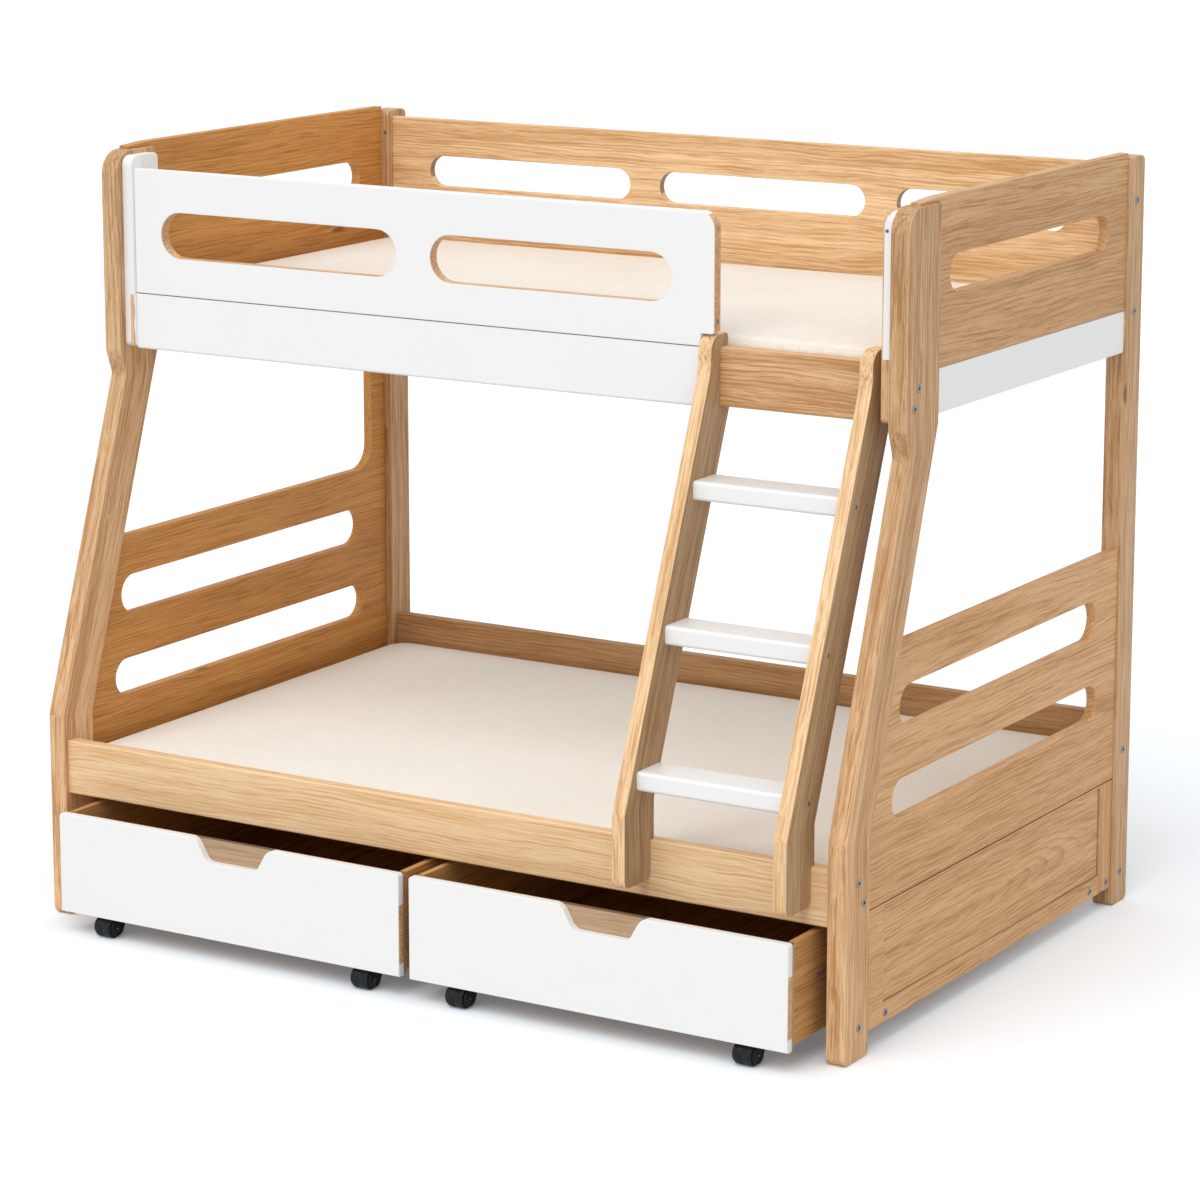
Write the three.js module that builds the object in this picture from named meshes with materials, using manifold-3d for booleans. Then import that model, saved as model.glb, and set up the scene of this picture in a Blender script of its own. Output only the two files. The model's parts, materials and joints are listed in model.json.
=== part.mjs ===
// A bunk bed with a wide lower bunk, a narrower upper bunk, a leaning ladder and two drawers on castors.
// Millimetres, +Z up. The bed is laid out with x along its length from the left end, y from the front
// edge of the legs to the back, and z from the floor; the whole group is then centred over the origin.
import * as THREE from "three";
import { mergeVertices } from "three/addons/utils/BufferGeometryUtils.js";
import Module from "manifold-3d";

const wasm = await Module();
wasm.setup();

// Overall sizes
const LENGTH = 2080;
const DEPTH = 1410;
const UPPER_LEVEL = 1300;

// Front legs: planks that lean back from a short upright foot to the narrower upper bunk
const LEG_THICK = 44;
const FOOT_WIDTH = 105;
const UPPER_SETBACK = 240;
const UPPER_WIDTH = 145;
const SHOULDER_STEP = 20;
const SHOULDER_DROP = 5;
const SHOULDER_HEIGHT = 57;
const KNEE_FRONT = 478;
const KNEE_BACK = 470;
const LEG_TOP_ROUND = 55;
const FOOT_ROUND = 18;
const BEND_ROUND = 24;

// Back posts
const POST_X = 50;
const POST_Y = 80;
const POST_DROP = 10;
const POST_ROUND = 16;

// End panels, the white rails under the upper ones, and the kick boards under the lower ones
const PANEL_THICK = 25;
const PANEL_RECESS = 6;
const JOINT_GAP = 0.3;
const CAP_INSET = 60;
const CAP_SLOPE = 76;
const CAP_TIP = 7;
const CAP_ROUND = 90;
const CAP_THICK = 12;
const UPPER_PANEL_HEIGHT = 360;
const UPPER_SLOT_FRONT = { left: 360, right: 55 };
const UPPER_SLOT_BACK = 100;
const UPPER_SLOT_DROP = 128;
const UPPER_SLOT_HEIGHT = 80;
const END_RAIL_RISE = 12;
const END_RAIL_HEIGHT = 96;
const END_RAIL_ROUND = 8;
const LOWER_PANEL_BOTTOM = 310;
const LOWER_PANEL_HEIGHT = 545;
const LOWER_SLOT_SIZES = [
  { front: 135, back: 115, drop: 97, height: 90 },
  { front: 106, back: 104, drop: 295, height: 85 },
];
const PANEL_STILE = 60;
const STILE_FILLET = 60;
const KICK_GAP = 3;
const KICK_BOTTOM = 46;
const KICK_STILE = 78;
const KICK_RAIL = 46;
const KICK_HEAD = 5;
const KICK_INSET = 3;
const CLEAT_WIDTH = 64;
const CLEAT_GAP = 3;

// White cheek boards inside the front legs, which hold the rails of the upper bunk
const CHEEK_THICK = 28;
const CHEEK_WIDTH = 100;
const CHEEK_SETBACK = 20;
const CHEEK_DROP = 10;
const CHEEK_RISE = 5;
const CHEEK_NOTCH_RISE = 28;
const CHEEK_ROUND = 24;

// Front of the upper bunk: a long rail, the white board over it and the slotted guard above
const RAIL_HEIGHT = 128;
const RAIL_THICK = 30;
const GUARD_SETBACK = 8;
const GUARD_THICK = 28;
const GUARD_SEAM = 2;
const GUARD_HEIGHT = 286;
const GUARD_OVERLAP = 32;
const GUARD_ROUND = 35;
const GUARD_NOTCH_HEIGHT = 27;
const GUARD_SLOT_LEFT = 76;
const GUARD_SLOT_LENGTH = 650;
const GUARD_SLOT_BRIDGE = 90;
const GUARD_SLOT_RIGHT = 104;
const GUARD_SLOT_DROP = 94;
const GUARD_SLOT_HEIGHT = 105;
const FASCIA_ROUND = 6;

// Back of the upper bunk
const BACK_PANEL_THICK = 22;
const BACK_PANEL_SETBACK = 18;
const BACK_PANEL_HEIGHT = 314;
const BACK_SLOT_MARGIN = 165;
const BACK_SLOT_LEFT = 585;
const BACK_SLOT_RIGHT = 435;
const BACK_SLOT_BRIDGE = 85;
const BACK_SLOT_DROP = 92;
const BACK_SLOT_HEIGHT = 76;

// Lower bunk rails
const LOW_RAIL_SETBACK = 12;
const LOW_RAIL_THICK = 32;
const LOW_RAIL_BOTTOM = 292;
const LOW_RAIL_HEIGHT = 125;
const LOW_BACK_HEIGHT = 166;
const LOW_BACK_THICK = 25;
const LOW_BACK_SETBACK = 22;

// Slatted frames between the rails, and the mattress pads on them
const LOWER_DECK_RISE = 18;
const UPPER_DECK_RISE = 32;
const SLAT_THICK = 18;
const SLAT_WIDTH = 118;
const SLAT_COUNT = 14;
const SLAT_END_MARGIN = 66;
const BATTEN_WIDTH = 40;
const BATTEN_THICK = 16;
const PAD_GAP = 4;
const HOOK_REACH = 4;
const HOOK_LEAD = 12;
const HOOK_BEND_RISE = 83.5176;
const HOOK_BEND_ROUND = 150;
const LOWER_PAD_HEIGHT = 62;
const UPPER_PAD_HEIGHT = 92;
const PAD_CROWN = 10;
const PAD_CORNER = 60;
const PAD_EDGE = 26;

// Ladder
const STILE_THICK = 32;
const STILE_DEPTH = 121;
const STILE_FRONT_PAD = 107;
const STILE_TUCK = 43;
const LADDER_MARGIN = 88;
const LADDER_WIDTH = 416;
const STILE_RISE = 40;
const STILE_TOP_RISE = 28;
const STILE_KNEE_FRONT = 492;
const STILE_KNEE_BACK = 505;
const STILE_TOP_ROUND = 36;
const STILE_FOOT_ROUND = 20;
const TREAD_TOPS = [578, 868, 1158];
const TREAD_THICK = 42;
const TREAD_DEPTH = 95;
const TREAD_SETBACK = 14;
const TREAD_ROUND = 8;

// Drawers, shown pulled out a little way
const DRAWER_OUT = 105;
const DRAWER_LEFT_MARGIN = 64;
const DRAWER_RIGHT_MARGIN = 32;
const DRAWER_MIDDLE_GAP = 26;
const DRAWER_BOTTOM = 50;
const DRAWER_HEIGHT = 232;
const DRAWER_DEPTH = 740;
const FRONT_THICK = 20;
const FRONT_ROUND = 8;
const INNER_FRONT_THICK = 15;
const INNER_FRONT_DROP = 5;
const INNER_FRONT_LIFT = 2;
const BOX_THICK = 15;
const BOX_INSET = 4;
const BOX_DROP = 3;
const BOX_LIFT = 8;
const BACK_DROP = 20;
const FLOOR_THICK = 9;
const NOTCH_OFFSET = 18;
const NOTCH_TOP_WIDTH = 198;
const NOTCH_WIDTH = 137;
const NOTCH_DEPTH = 53;
const NOTCH_TOP_ROUND = 30;
const NOTCH_ROUND = 22;

// Castors
const WHEEL_RADIUS = 24;
const WHEEL_WIDTH = 42;
const WHEEL_BORE = 4.3;
const AXLE_RADIUS = 4;
const WHEEL_FLOOR_GAP = 0.3;
const WHEEL_SIDES = 18;
const FORK_THICK = 3;
const FORK_PLAY = 1.5;
const FORK_RADIUS = 19;
const FORK_PLATE = 27;
const FORK_LEAD = 11;
const FORK_CLEAR = 8;
const CASTOR_LEFT_INSET = 115;
const CASTOR_RIGHT_INSET = 108;
const CASTOR_FRONT_INSET = 25;
const CASTOR_BACK_INSET = 60;

// Where one piece's size sets another's place
const ARC_STEPS = 3;
const RAIL_ROUND = 4;
const EDGE_EASE = 2.5;
const THIN_EASE = 1.2;
const EASE_STEPS = 2;
const RAIL_BOTTOM = UPPER_LEVEL;
const RAIL_TOP = RAIL_BOTTOM + RAIL_HEIGHT;
const SHOULDER_TOP = RAIL_BOTTOM - SHOULDER_DROP;
const SHOULDER_FOOT = SHOULDER_TOP - SHOULDER_HEIGHT;
const END_RAIL_BOTTOM = RAIL_BOTTOM + END_RAIL_RISE;
const UPPER_PANEL_BOTTOM = END_RAIL_BOTTOM + END_RAIL_HEIGHT;
const PANEL_TOP = UPPER_PANEL_BOTTOM + UPPER_PANEL_HEIGHT;
const LEG_TOP = PANEL_TOP - CAP_THICK;
const POST_TOP = PANEL_TOP - POST_DROP;
const CHEEK_BOTTOM = RAIL_BOTTOM + CHEEK_RISE;
const CHEEK_NOTCH_TOP = RAIL_TOP + CHEEK_NOTCH_RISE;
const GUARD_BOTTOM = RAIL_TOP + GUARD_SEAM;
const GUARD_TOP = GUARD_BOTTOM + GUARD_HEIGHT;
const GUARD_NOTCH_TOP = GUARD_BOTTOM + GUARD_NOTCH_HEIGHT;
const BACK_PANEL_TOP = RAIL_TOP + BACK_PANEL_HEIGHT;
const LOWER_PANEL_TOP = LOWER_PANEL_BOTTOM + LOWER_PANEL_HEIGHT;
const LOW_RAIL_TOP = LOW_RAIL_BOTTOM + LOW_RAIL_HEIGHT;
const LOW_BACK_TOP = LOW_RAIL_BOTTOM + LOW_BACK_HEIGHT;
const LEG_BACK = UPPER_SETBACK + UPPER_WIDTH;
const POST_FRONT = DEPTH - POST_Y;
const CHEEK_INNER = LEG_THICK + CHEEK_THICK;
const CHEEK_FRONT = UPPER_SETBACK + CHEEK_SETBACK;
const GUARD_FRONT = CHEEK_FRONT + GUARD_SETBACK;
const RAIL_FRONT = GUARD_FRONT + GUARD_THICK;
const RAIL_BACK = RAIL_FRONT + RAIL_THICK;
const BACK_PANEL_FRONT = POST_FRONT + BACK_PANEL_SETBACK;
const LOW_RAIL_BACK = LOW_RAIL_SETBACK + LOW_RAIL_THICK;
const LOW_BACK_FRONT = POST_FRONT + LOW_BACK_SETBACK;
const LOW_SLAT_Z = LOW_RAIL_BOTTOM + LOWER_DECK_RISE;
const UPPER_SLAT_Z = RAIL_BOTTOM + UPPER_DECK_RISE;
const HOOK_BACK = RAIL_BACK + HOOK_REACH;
const HOOK_FRONT = GUARD_FRONT - HOOK_LEAD;
const LADDER_RIGHT = LENGTH - LADDER_MARGIN;
const LADDER_LEFT = LADDER_RIGHT - LADDER_WIDTH;
const GUARD_END = LADDER_LEFT + GUARD_OVERLAP;
const STILE_BOTTOM = LOW_RAIL_BOTTOM + STILE_RISE;
const STILE_TOP = RAIL_TOP + STILE_TOP_RISE;
const STILE_FRONT = LOW_RAIL_SETBACK - STILE_FRONT_PAD;
const STILE_HOOK_BACK = STILE_FRONT + STILE_DEPTH;
const HOOK_BEND = RAIL_BOTTOM + HOOK_BEND_RISE;
const STILE_LEAN = (HOOK_FRONT - STILE_FRONT) / (HOOK_BEND - STILE_KNEE_FRONT);
const DRAWER_START = LEG_THICK + DRAWER_LEFT_MARGIN;
const DRAWER_END = LENGTH - LEG_THICK - DRAWER_RIGHT_MARGIN;
const DRAWER_LENGTH = (DRAWER_END - DRAWER_START - DRAWER_MIDDLE_GAP) / 2;
const DRAWER_TOP = DRAWER_BOTTOM + DRAWER_HEIGHT;
const BOX_BOTTOM = DRAWER_BOTTOM + BOX_LIFT;
const AXLE_Z = WHEEL_RADIUS + WHEEL_FLOOR_GAP;

const oak = { color: 0xd2a673, roughness: 0.5, metalness: 0 };
const white = { color: 0xf2f2f0, roughness: 0.45, metalness: 0 };
const boxWood = { color: 0xc08a52, roughness: 0.6, metalness: 0 };
const cloth = { color: 0xe9e0d2, roughness: 0.95, metalness: 0 };
const slatWood = { color: 0xd9bd92, roughness: 0.7, metalness: 0 };
const blackPlastic = { color: 0x1b1b1c, roughness: 0.4, metalness: 0 };

const bed = new THREE.Group();

function add(name, geometry, look, place = [0, 0, 0], parent = bed) {
  const mesh = new THREE.Mesh(geometry, new THREE.MeshStandardMaterial(look));
  mesh.name = name;
  mesh.position.set(...place);
  parent.add(mesh);
  return mesh;
}

// A closed outline through [x, y, corner radius] points, each corner a true arc.
function outline(points) {
  const shape = new THREE.Shape();
  const corner = (i) => new THREE.Vector2(...points[(i + points.length) % points.length]);
  points.forEach(([, , radius = 0], i) => {
    const here = corner(i);
    const back = corner(i - 1).sub(here).normalize();
    const ahead = corner(i + 1).sub(here).normalize();
    const half = Math.acos(THREE.MathUtils.clamp(back.dot(ahead), -1, 1)) / 2;
    const run = radius / Math.tan(half);
    const start = here.clone().addScaledVector(back, run);
    const end = here.clone().addScaledVector(ahead, run);
    if (i === 0) shape.moveTo(start.x, start.y);
    else shape.lineTo(start.x, start.y);
    if (radius === 0) return;
    const middle = back.clone().add(ahead).normalize();
    const centre = here.clone().addScaledVector(middle, radius / Math.sin(half));
    const leftTurn = ahead.cross(back) > 0;
    const from = start.sub(centre).angle();
    shape.absarc(centre.x, centre.y, radius, from, end.sub(centre).angle(), !leftTurn);
  });
  return shape;
}

function rectangle(x0, y0, x1, y1, radius = 0) {
  return outline([[x0, y0, radius], [x1, y0, radius], [x1, y1, radius], [x0, y1, radius]]);
}

// A slot with round ends, as a hole for an outline.
function slotHole({ from, to, bottom, top }) {
  const radius = (top - bottom) / 2;
  const level = bottom + radius;
  const hole = new THREE.Path();
  const ends = [to - radius, to - radius, from + radius, from + radius];
  ends.forEach((centre, i) => {
    const start = ((i - 1) * Math.PI) / 2;
    hole.absarc(centre, level, radius, start, start + Math.PI / 2, false);
  });
  return hole;
}

// An outline given its thickness, with the edges of both faces eased by a small round.
function extrude(shape, thick, ease) {
  return new THREE.ExtrudeGeometry(shape, {
    depth: thick - 2 * ease,
    bevelEnabled: ease > 0,
    bevelThickness: ease,
    bevelSize: ease,
    bevelOffset: -ease,
    bevelSegments: EASE_STEPS,
    curveSegments: ARC_STEPS,
  }).translate(0, 0, ease);
}

const asEnd = new THREE.Matrix4().makeBasis(
  new THREE.Vector3(0, 1, 0), new THREE.Vector3(0, 0, 1), new THREE.Vector3(1, 0, 0));
const asFront = new THREE.Matrix4().makeBasis(
  new THREE.Vector3(1, 0, 0), new THREE.Vector3(0, 0, 1), new THREE.Vector3(0, -1, 0));

// A (y, z) outline with its thickness along +x from x0.
function endBoard(shape, x0, thick, ease = EDGE_EASE) {
  return extrude(shape, thick, ease).applyMatrix4(asEnd).translate(x0, 0, 0);
}

// An (x, z) outline with its thickness along +y from y0.
function frontBoard(shape, y0, thick, ease = EDGE_EASE) {
  return extrude(shape, thick, ease).applyMatrix4(asFront).translate(0, y0 + thick, 0);
}

function block(x0, y0, z0, x1, y1, z1) {
  return new THREE.BoxGeometry(x1 - x0, y1 - y0, z1 - z0)
    .translate((x0 + x1) / 2, (y0 + y1) / 2, (z0 + z1) / 2);
}

function solid(geometry) {
  const bare = geometry.index ? geometry.clone() : mergeVertices(onlyPosition(geometry), 1e-4);
  const merged = mergeVertices(onlyPosition(bare), 1e-4);
  return new wasm.Manifold(new wasm.Mesh({
    numProp: 3,
    vertProperties: new Float32Array(merged.attributes.position.array),
    triVerts: new Uint32Array(merged.index.array),
  }));
}

function onlyPosition(geometry) {
  const bare = geometry.clone();
  bare.deleteAttribute("normal");
  bare.deleteAttribute("uv");
  return bare;
}

function geometryOf(body) {
  const mesh = body.getMesh();
  const geometry = new THREE.BufferGeometry();
  geometry.setAttribute("position", new THREE.BufferAttribute(mesh.vertProperties, 3));
  geometry.setIndex(new THREE.BufferAttribute(mesh.triVerts, 1));
  return geometry;
}

function joined(geometries) {
  return geometryOf(geometries.map(solid).reduce((sum, body) => sum.add(body)));
}

// x of a thickness-T board at the left or right end, whose outer face is set in from the bed's end.
function endX(side, inset, thick) {
  return side === "left" ? inset : LENGTH - inset - thick;
}

// The back edge of a front leg at height z, between the foot and the shoulder.
function legBackAt(z) {
  const shoulderBack = LEG_BACK - SHOULDER_STEP;
  const rise = Math.max(z - KNEE_BACK, 0) / (SHOULDER_FOOT - KNEE_BACK);
  return FOOT_WIDTH + (shoulderBack - FOOT_WIDTH) * rise;
}

function frontLeg(side) {
  const shape = outline([
    [0, 0, FOOT_ROUND],
    [FOOT_WIDTH, 0, FOOT_ROUND],
    [FOOT_WIDTH, KNEE_BACK],
    [LEG_BACK - SHOULDER_STEP, SHOULDER_FOOT, BEND_ROUND],
    [LEG_BACK, SHOULDER_TOP, BEND_ROUND],
    [LEG_BACK, LEG_TOP],
    [UPPER_SETBACK, LEG_TOP, LEG_TOP_ROUND],
    [UPPER_SETBACK, SHOULDER_TOP, BEND_ROUND],
    [UPPER_SETBACK + SHOULDER_STEP, SHOULDER_FOOT, BEND_ROUND],
    [0, KNEE_FRONT, BEND_ROUND],
  ]);
  add(`leg_front_${side}`, endBoard(shape, endX(side, 0, LEG_THICK), LEG_THICK), oak);
}

function backPost(side) {
  const shape = outline([
    [POST_FRONT, 0, FOOT_ROUND / 2],
    [DEPTH, 0, POST_ROUND],
    [DEPTH, POST_TOP, POST_ROUND],
    [POST_FRONT, POST_TOP, POST_ROUND],
  ]);
  add(`post_back_${side}`, endBoard(shape, endX(side, 0, POST_X), POST_X), oak);
}

// The upper end panel runs from leg to post, and a thin sloping cap of it lies on the leg's top.
// The left panel's slot is shorter at the front, behind the guard.
function upperEnd(side) {
  const capFront = UPPER_SETBACK + CAP_INSET;
  const shape = outline([
    [LEG_BACK, UPPER_PANEL_BOTTOM],
    [POST_FRONT, UPPER_PANEL_BOTTOM],
    [POST_FRONT, PANEL_TOP],
    [capFront + CAP_SLOPE, PANEL_TOP, CAP_ROUND],
    [capFront, LEG_TOP + CAP_TIP],
    [capFront, LEG_TOP],
    [LEG_BACK, LEG_TOP],
  ]);
  const slotTop = PANEL_TOP - UPPER_SLOT_DROP;
  shape.holes.push(slotHole({
    from: LEG_BACK + UPPER_SLOT_FRONT[side],
    to: POST_FRONT - UPPER_SLOT_BACK,
    bottom: slotTop - UPPER_SLOT_HEIGHT,
    top: slotTop,
  }));
  const x = endX(side, PANEL_RECESS, PANEL_THICK);
  add(`upper_end_panel_${side}`, endBoard(shape, x, PANEL_THICK), oak);

  const rail = outline([
    [LEG_BACK, END_RAIL_BOTTOM],
    [POST_FRONT, END_RAIL_BOTTOM, END_RAIL_ROUND],
    [POST_FRONT, UPPER_PANEL_BOTTOM],
    [LEG_BACK, UPPER_PANEL_BOTTOM],
  ]);
  add(`upper_end_rail_${side}`, endBoard(rail, x, PANEL_THICK), white);
}

// The lower end panel is cut to the leaning leg; the left one has an upright stile along the post.
function lowerEnd(side) {
  const upright = side === "left"
    ? [
        [POST_FRONT, END_RAIL_BOTTOM - JOINT_GAP],
        [POST_FRONT - PANEL_STILE, END_RAIL_BOTTOM - JOINT_GAP],
        [POST_FRONT - PANEL_STILE, LOWER_PANEL_TOP, STILE_FILLET],
      ]
    : [[POST_FRONT, LOWER_PANEL_TOP]];
  const shape = outline([
    [FOOT_WIDTH + JOINT_GAP, LOWER_PANEL_BOTTOM],
    [POST_FRONT, LOWER_PANEL_BOTTOM],
    ...upright,
    [legBackAt(LOWER_PANEL_TOP) + JOINT_GAP, LOWER_PANEL_TOP],
    [FOOT_WIDTH + JOINT_GAP, KNEE_BACK],
  ]);
  LOWER_SLOT_SIZES.forEach(({ front, back, drop, height }) => shape.holes.push(slotHole({
    from: FOOT_WIDTH + front,
    to: POST_FRONT - back,
    bottom: LOWER_PANEL_TOP - drop - height,
    top: LOWER_PANEL_TOP - drop,
  })));
  const x = endX(side, PANEL_RECESS, PANEL_THICK);
  add(`lower_end_panel_${side}`, endBoard(shape, x, PANEL_THICK), oak);
}

// The kick board is a frame with a thinner panel set into it, and a cleat closes it to the post.
function kickBoard(side) {
  const front = FOOT_WIDTH + JOINT_GAP;
  const top = LOWER_PANEL_BOTTOM - KICK_GAP;
  const cleatFront = POST_FRONT - CLEAT_WIDTH;
  const back = cleatFront - CLEAT_GAP;
  const x = endX(side, PANEL_RECESS, PANEL_THICK);
  const frame = rectangle(front, KICK_BOTTOM, back, top);
  const inset = [front + KICK_STILE, KICK_BOTTOM + KICK_RAIL, back - KICK_HEAD, top - KICK_HEAD];
  frame.holes.push(rectangle(...inset));
  const panelX = x + KICK_INSET;
  const panel = endBoard(rectangle(...inset), panelX, PANEL_THICK - 2 * KICK_INSET, 0);
  add(`kick_board_${side}`, joined([endBoard(frame, x, PANEL_THICK, THIN_EASE), panel]), oak);
  const cleat = rectangle(cleatFront, KICK_BOTTOM, POST_FRONT, top);
  add(`kick_cleat_${side}`, endBoard(cleat, x, PANEL_THICK), oak);
}

// The cheek board's lower back corner is cut away behind the rail, so the mattress passes it.
function cheekBoard(side) {
  const back = CHEEK_FRONT + CHEEK_WIDTH;
  const top = LEG_TOP - CHEEK_DROP;
  const shape = outline([
    [CHEEK_FRONT, CHEEK_BOTTOM, CHEEK_ROUND / 2],
    [RAIL_BACK, CHEEK_BOTTOM, CHEEK_ROUND / 2],
    [RAIL_BACK, CHEEK_NOTCH_TOP],
    [back, CHEEK_NOTCH_TOP],
    [back, top, CHEEK_ROUND / 2],
    [CHEEK_FRONT, top, CHEEK_ROUND],
  ]);
  add(`cheek_board_${side}`, endBoard(shape, endX(side, LEG_THICK, CHEEK_THICK), CHEEK_THICK), white);
}

// A rail along x with rounded edges, between the faces y0 and y1.
function rail(name, x0, x1, y0, y1, bottom, top) {
  add(name, endBoard(rectangle(y0, bottom, y1, top, RAIL_ROUND), x0, x1 - x0, 0), oak);
}

function upperFront() {
  const x0 = CHEEK_INNER;
  const x1 = LENGTH - CHEEK_INNER;
  rail("upper_front_rail", x0, x1, RAIL_FRONT, RAIL_BACK, RAIL_BOTTOM, RAIL_TOP);

  const fascia = outline([
    [GUARD_FRONT, RAIL_BOTTOM, FASCIA_ROUND],
    [RAIL_FRONT, RAIL_BOTTOM],
    [RAIL_FRONT, RAIL_TOP],
    [GUARD_FRONT, RAIL_TOP],
  ]);
  const fasciaEnd = LADDER_LEFT - PAD_GAP;
  add("upper_front_fascia", endBoard(fascia, x0, fasciaEnd - x0, THIN_EASE), white);

  const guard = outline([
    [x0, GUARD_BOTTOM],
    [LADDER_LEFT - GUARD_SEAM / 2, GUARD_BOTTOM],
    [LADDER_LEFT - GUARD_SEAM / 2, GUARD_NOTCH_TOP],
    [GUARD_END, GUARD_NOTCH_TOP, GUARD_ROUND / 4],
    [GUARD_END, GUARD_TOP, GUARD_ROUND],
    [x0, GUARD_TOP],
  ]);
  const slotTop = GUARD_TOP - GUARD_SLOT_DROP;
  const slotBottom = slotTop - GUARD_SLOT_HEIGHT;
  const first = x0 + GUARD_SLOT_LEFT;
  const second = first + GUARD_SLOT_LENGTH + GUARD_SLOT_BRIDGE;
  [[first, first + GUARD_SLOT_LENGTH], [second, GUARD_END - GUARD_SLOT_RIGHT]].forEach(([from, to]) =>
    guard.holes.push(slotHole({ from, to, bottom: slotBottom, top: slotTop })));
  add("guard_rail", frontBoard(guard, GUARD_FRONT, GUARD_THICK), white);
}

function upperBack() {
  const panel = rectangle(POST_X, RAIL_TOP, LENGTH - POST_X, BACK_PANEL_TOP);
  const slotTop = BACK_PANEL_TOP - BACK_SLOT_DROP;
  const first = BACK_SLOT_MARGIN;
  const second = first + BACK_SLOT_LEFT + BACK_SLOT_BRIDGE;
  const third = LENGTH - BACK_SLOT_MARGIN - BACK_SLOT_RIGHT;
  const spans = [
    [first, first + BACK_SLOT_LEFT],
    [second, third - BACK_SLOT_BRIDGE],
    [third, third + BACK_SLOT_RIGHT],
  ];
  spans.forEach(([from, to]) =>
    panel.holes.push(slotHole({ from, to, bottom: slotTop - BACK_SLOT_HEIGHT, top: slotTop })));
  add("upper_back_panel", frontBoard(panel, BACK_PANEL_FRONT, BACK_PANEL_THICK), oak);
  const back = BACK_PANEL_FRONT + RAIL_THICK;
  rail("upper_back_rail", POST_X, LENGTH - POST_X, BACK_PANEL_FRONT, back, RAIL_BOTTOM, RAIL_TOP);
}

function lowerRails() {
  rail("lower_front_rail", LEG_THICK, LENGTH - LEG_THICK, LOW_RAIL_SETBACK, LOW_RAIL_BACK,
    LOW_RAIL_BOTTOM, LOW_RAIL_TOP);
  rail("lower_back_rail", POST_X, LENGTH - POST_X, LOW_BACK_FRONT, LOW_BACK_FRONT + LOW_BACK_THICK,
    LOW_RAIL_BOTTOM, LOW_BACK_TOP);
}

// A slatted frame that is fixed between the inner faces of its bunk's rails: slats across the bunk, let
// in flush over a batten along each rail and one along the middle.
function slatDeck(name, y0, y1, z) {
  const first = SLAT_END_MARGIN;
  const last = LENGTH - SLAT_END_MARGIN - SLAT_WIDTH;
  const slats = Array.from({ length: SLAT_COUNT }, (_, i) => {
    const x = first + ((last - first) * i) / (SLAT_COUNT - 1);
    return block(x, y0, z, x + SLAT_WIDTH, y1, z + SLAT_THICK);
  });
  const rows = [y0, (y0 + y1 - BATTEN_WIDTH) / 2, y1 - BATTEN_WIDTH];
  const battens = rows.map((y) =>
    block(first, y, z, last + SLAT_WIDTH, y + BATTEN_WIDTH, z + BATTEN_THICK));
  add(name, joined([...slats, ...battens]), slatWood);
}

// A mattress pad: rings of one rounded outline, from the flat base up the side, over the rounded
// edge and in over a crowned top, closed by a fan at the middle.
function padGeometry(x0, y0, x1, y1, z0, height) {
  const halfX = (x1 - x0) / 2;
  const halfY = (y1 - y0) / 2;
  const cx = (x0 + x1) / 2;
  const cy = (y0 + y1) / 2;
  const cornerSteps = 6;
  const edgeSteps = 5;
  const topSteps = 7;
  const rings = [{ inset: 3, z: 0 }, { inset: 0, z: height * 0.4 }];
  for (let i = 0; i <= edgeSteps; i++) {
    const turn = (i / edgeSteps) * (Math.PI / 2);
    const z = height - PAD_EDGE + PAD_EDGE * Math.sin(turn);
    rings.push({ inset: PAD_EDGE * (1 - Math.cos(turn)), z });
  }
  const reach = halfY - PAD_EDGE - 40;
  for (let i = 1; i <= topSteps; i++) {
    const share = i / topSteps;
    rings.push({ inset: PAD_EDGE + reach * share, z: height + PAD_CROWN * (1 - (1 - share) ** 2) });
  }
  const positions = [];
  const ringSize = 4 * (cornerSteps + 1);
  for (const { inset, z } of rings) {
    const a = halfX - inset;
    const b = halfY - inset;
    const radius = Math.max(PAD_CORNER - inset, 12);
    for (let corner = 0; corner < 4; corner++) {
      const sx = corner === 0 || corner === 3 ? 1 : -1;
      const sy = corner < 2 ? 1 : -1;
      for (let k = 0; k <= cornerSteps; k++) {
        const angle = ((corner + k / cornerSteps) * Math.PI) / 2;
        const x = cx + sx * (a - radius) + radius * Math.cos(angle);
        const y = cy + sy * (b - radius) + radius * Math.sin(angle);
        positions.push(x, y, z0 + z);
      }
    }
  }
  const top = positions.length / 3;
  positions.push(cx, cy, z0 + height + PAD_CROWN);
  const base = top + 1;
  positions.push(cx, cy, z0);
  const faces = [];
  for (let j = 0; j < ringSize; j++) {
    const next = (j + 1) % ringSize;
    faces.push(base, next, j);
    for (let r = 0; r < rings.length - 1; r++) {
      const low = r * ringSize;
      const high = low + ringSize;
      faces.push(low + j, low + next, high + next, low + j, high + next, high + j);
    }
    const last = (rings.length - 1) * ringSize;
    faces.push(last + j, last + next, top);
  }
  const geometry = new THREE.BufferGeometry();
  geometry.setAttribute("position", new THREE.Float32BufferAttribute(positions, 3));
  geometry.setIndex(faces);
  geometry.computeVertexNormals();
  return geometry;
}

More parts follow.
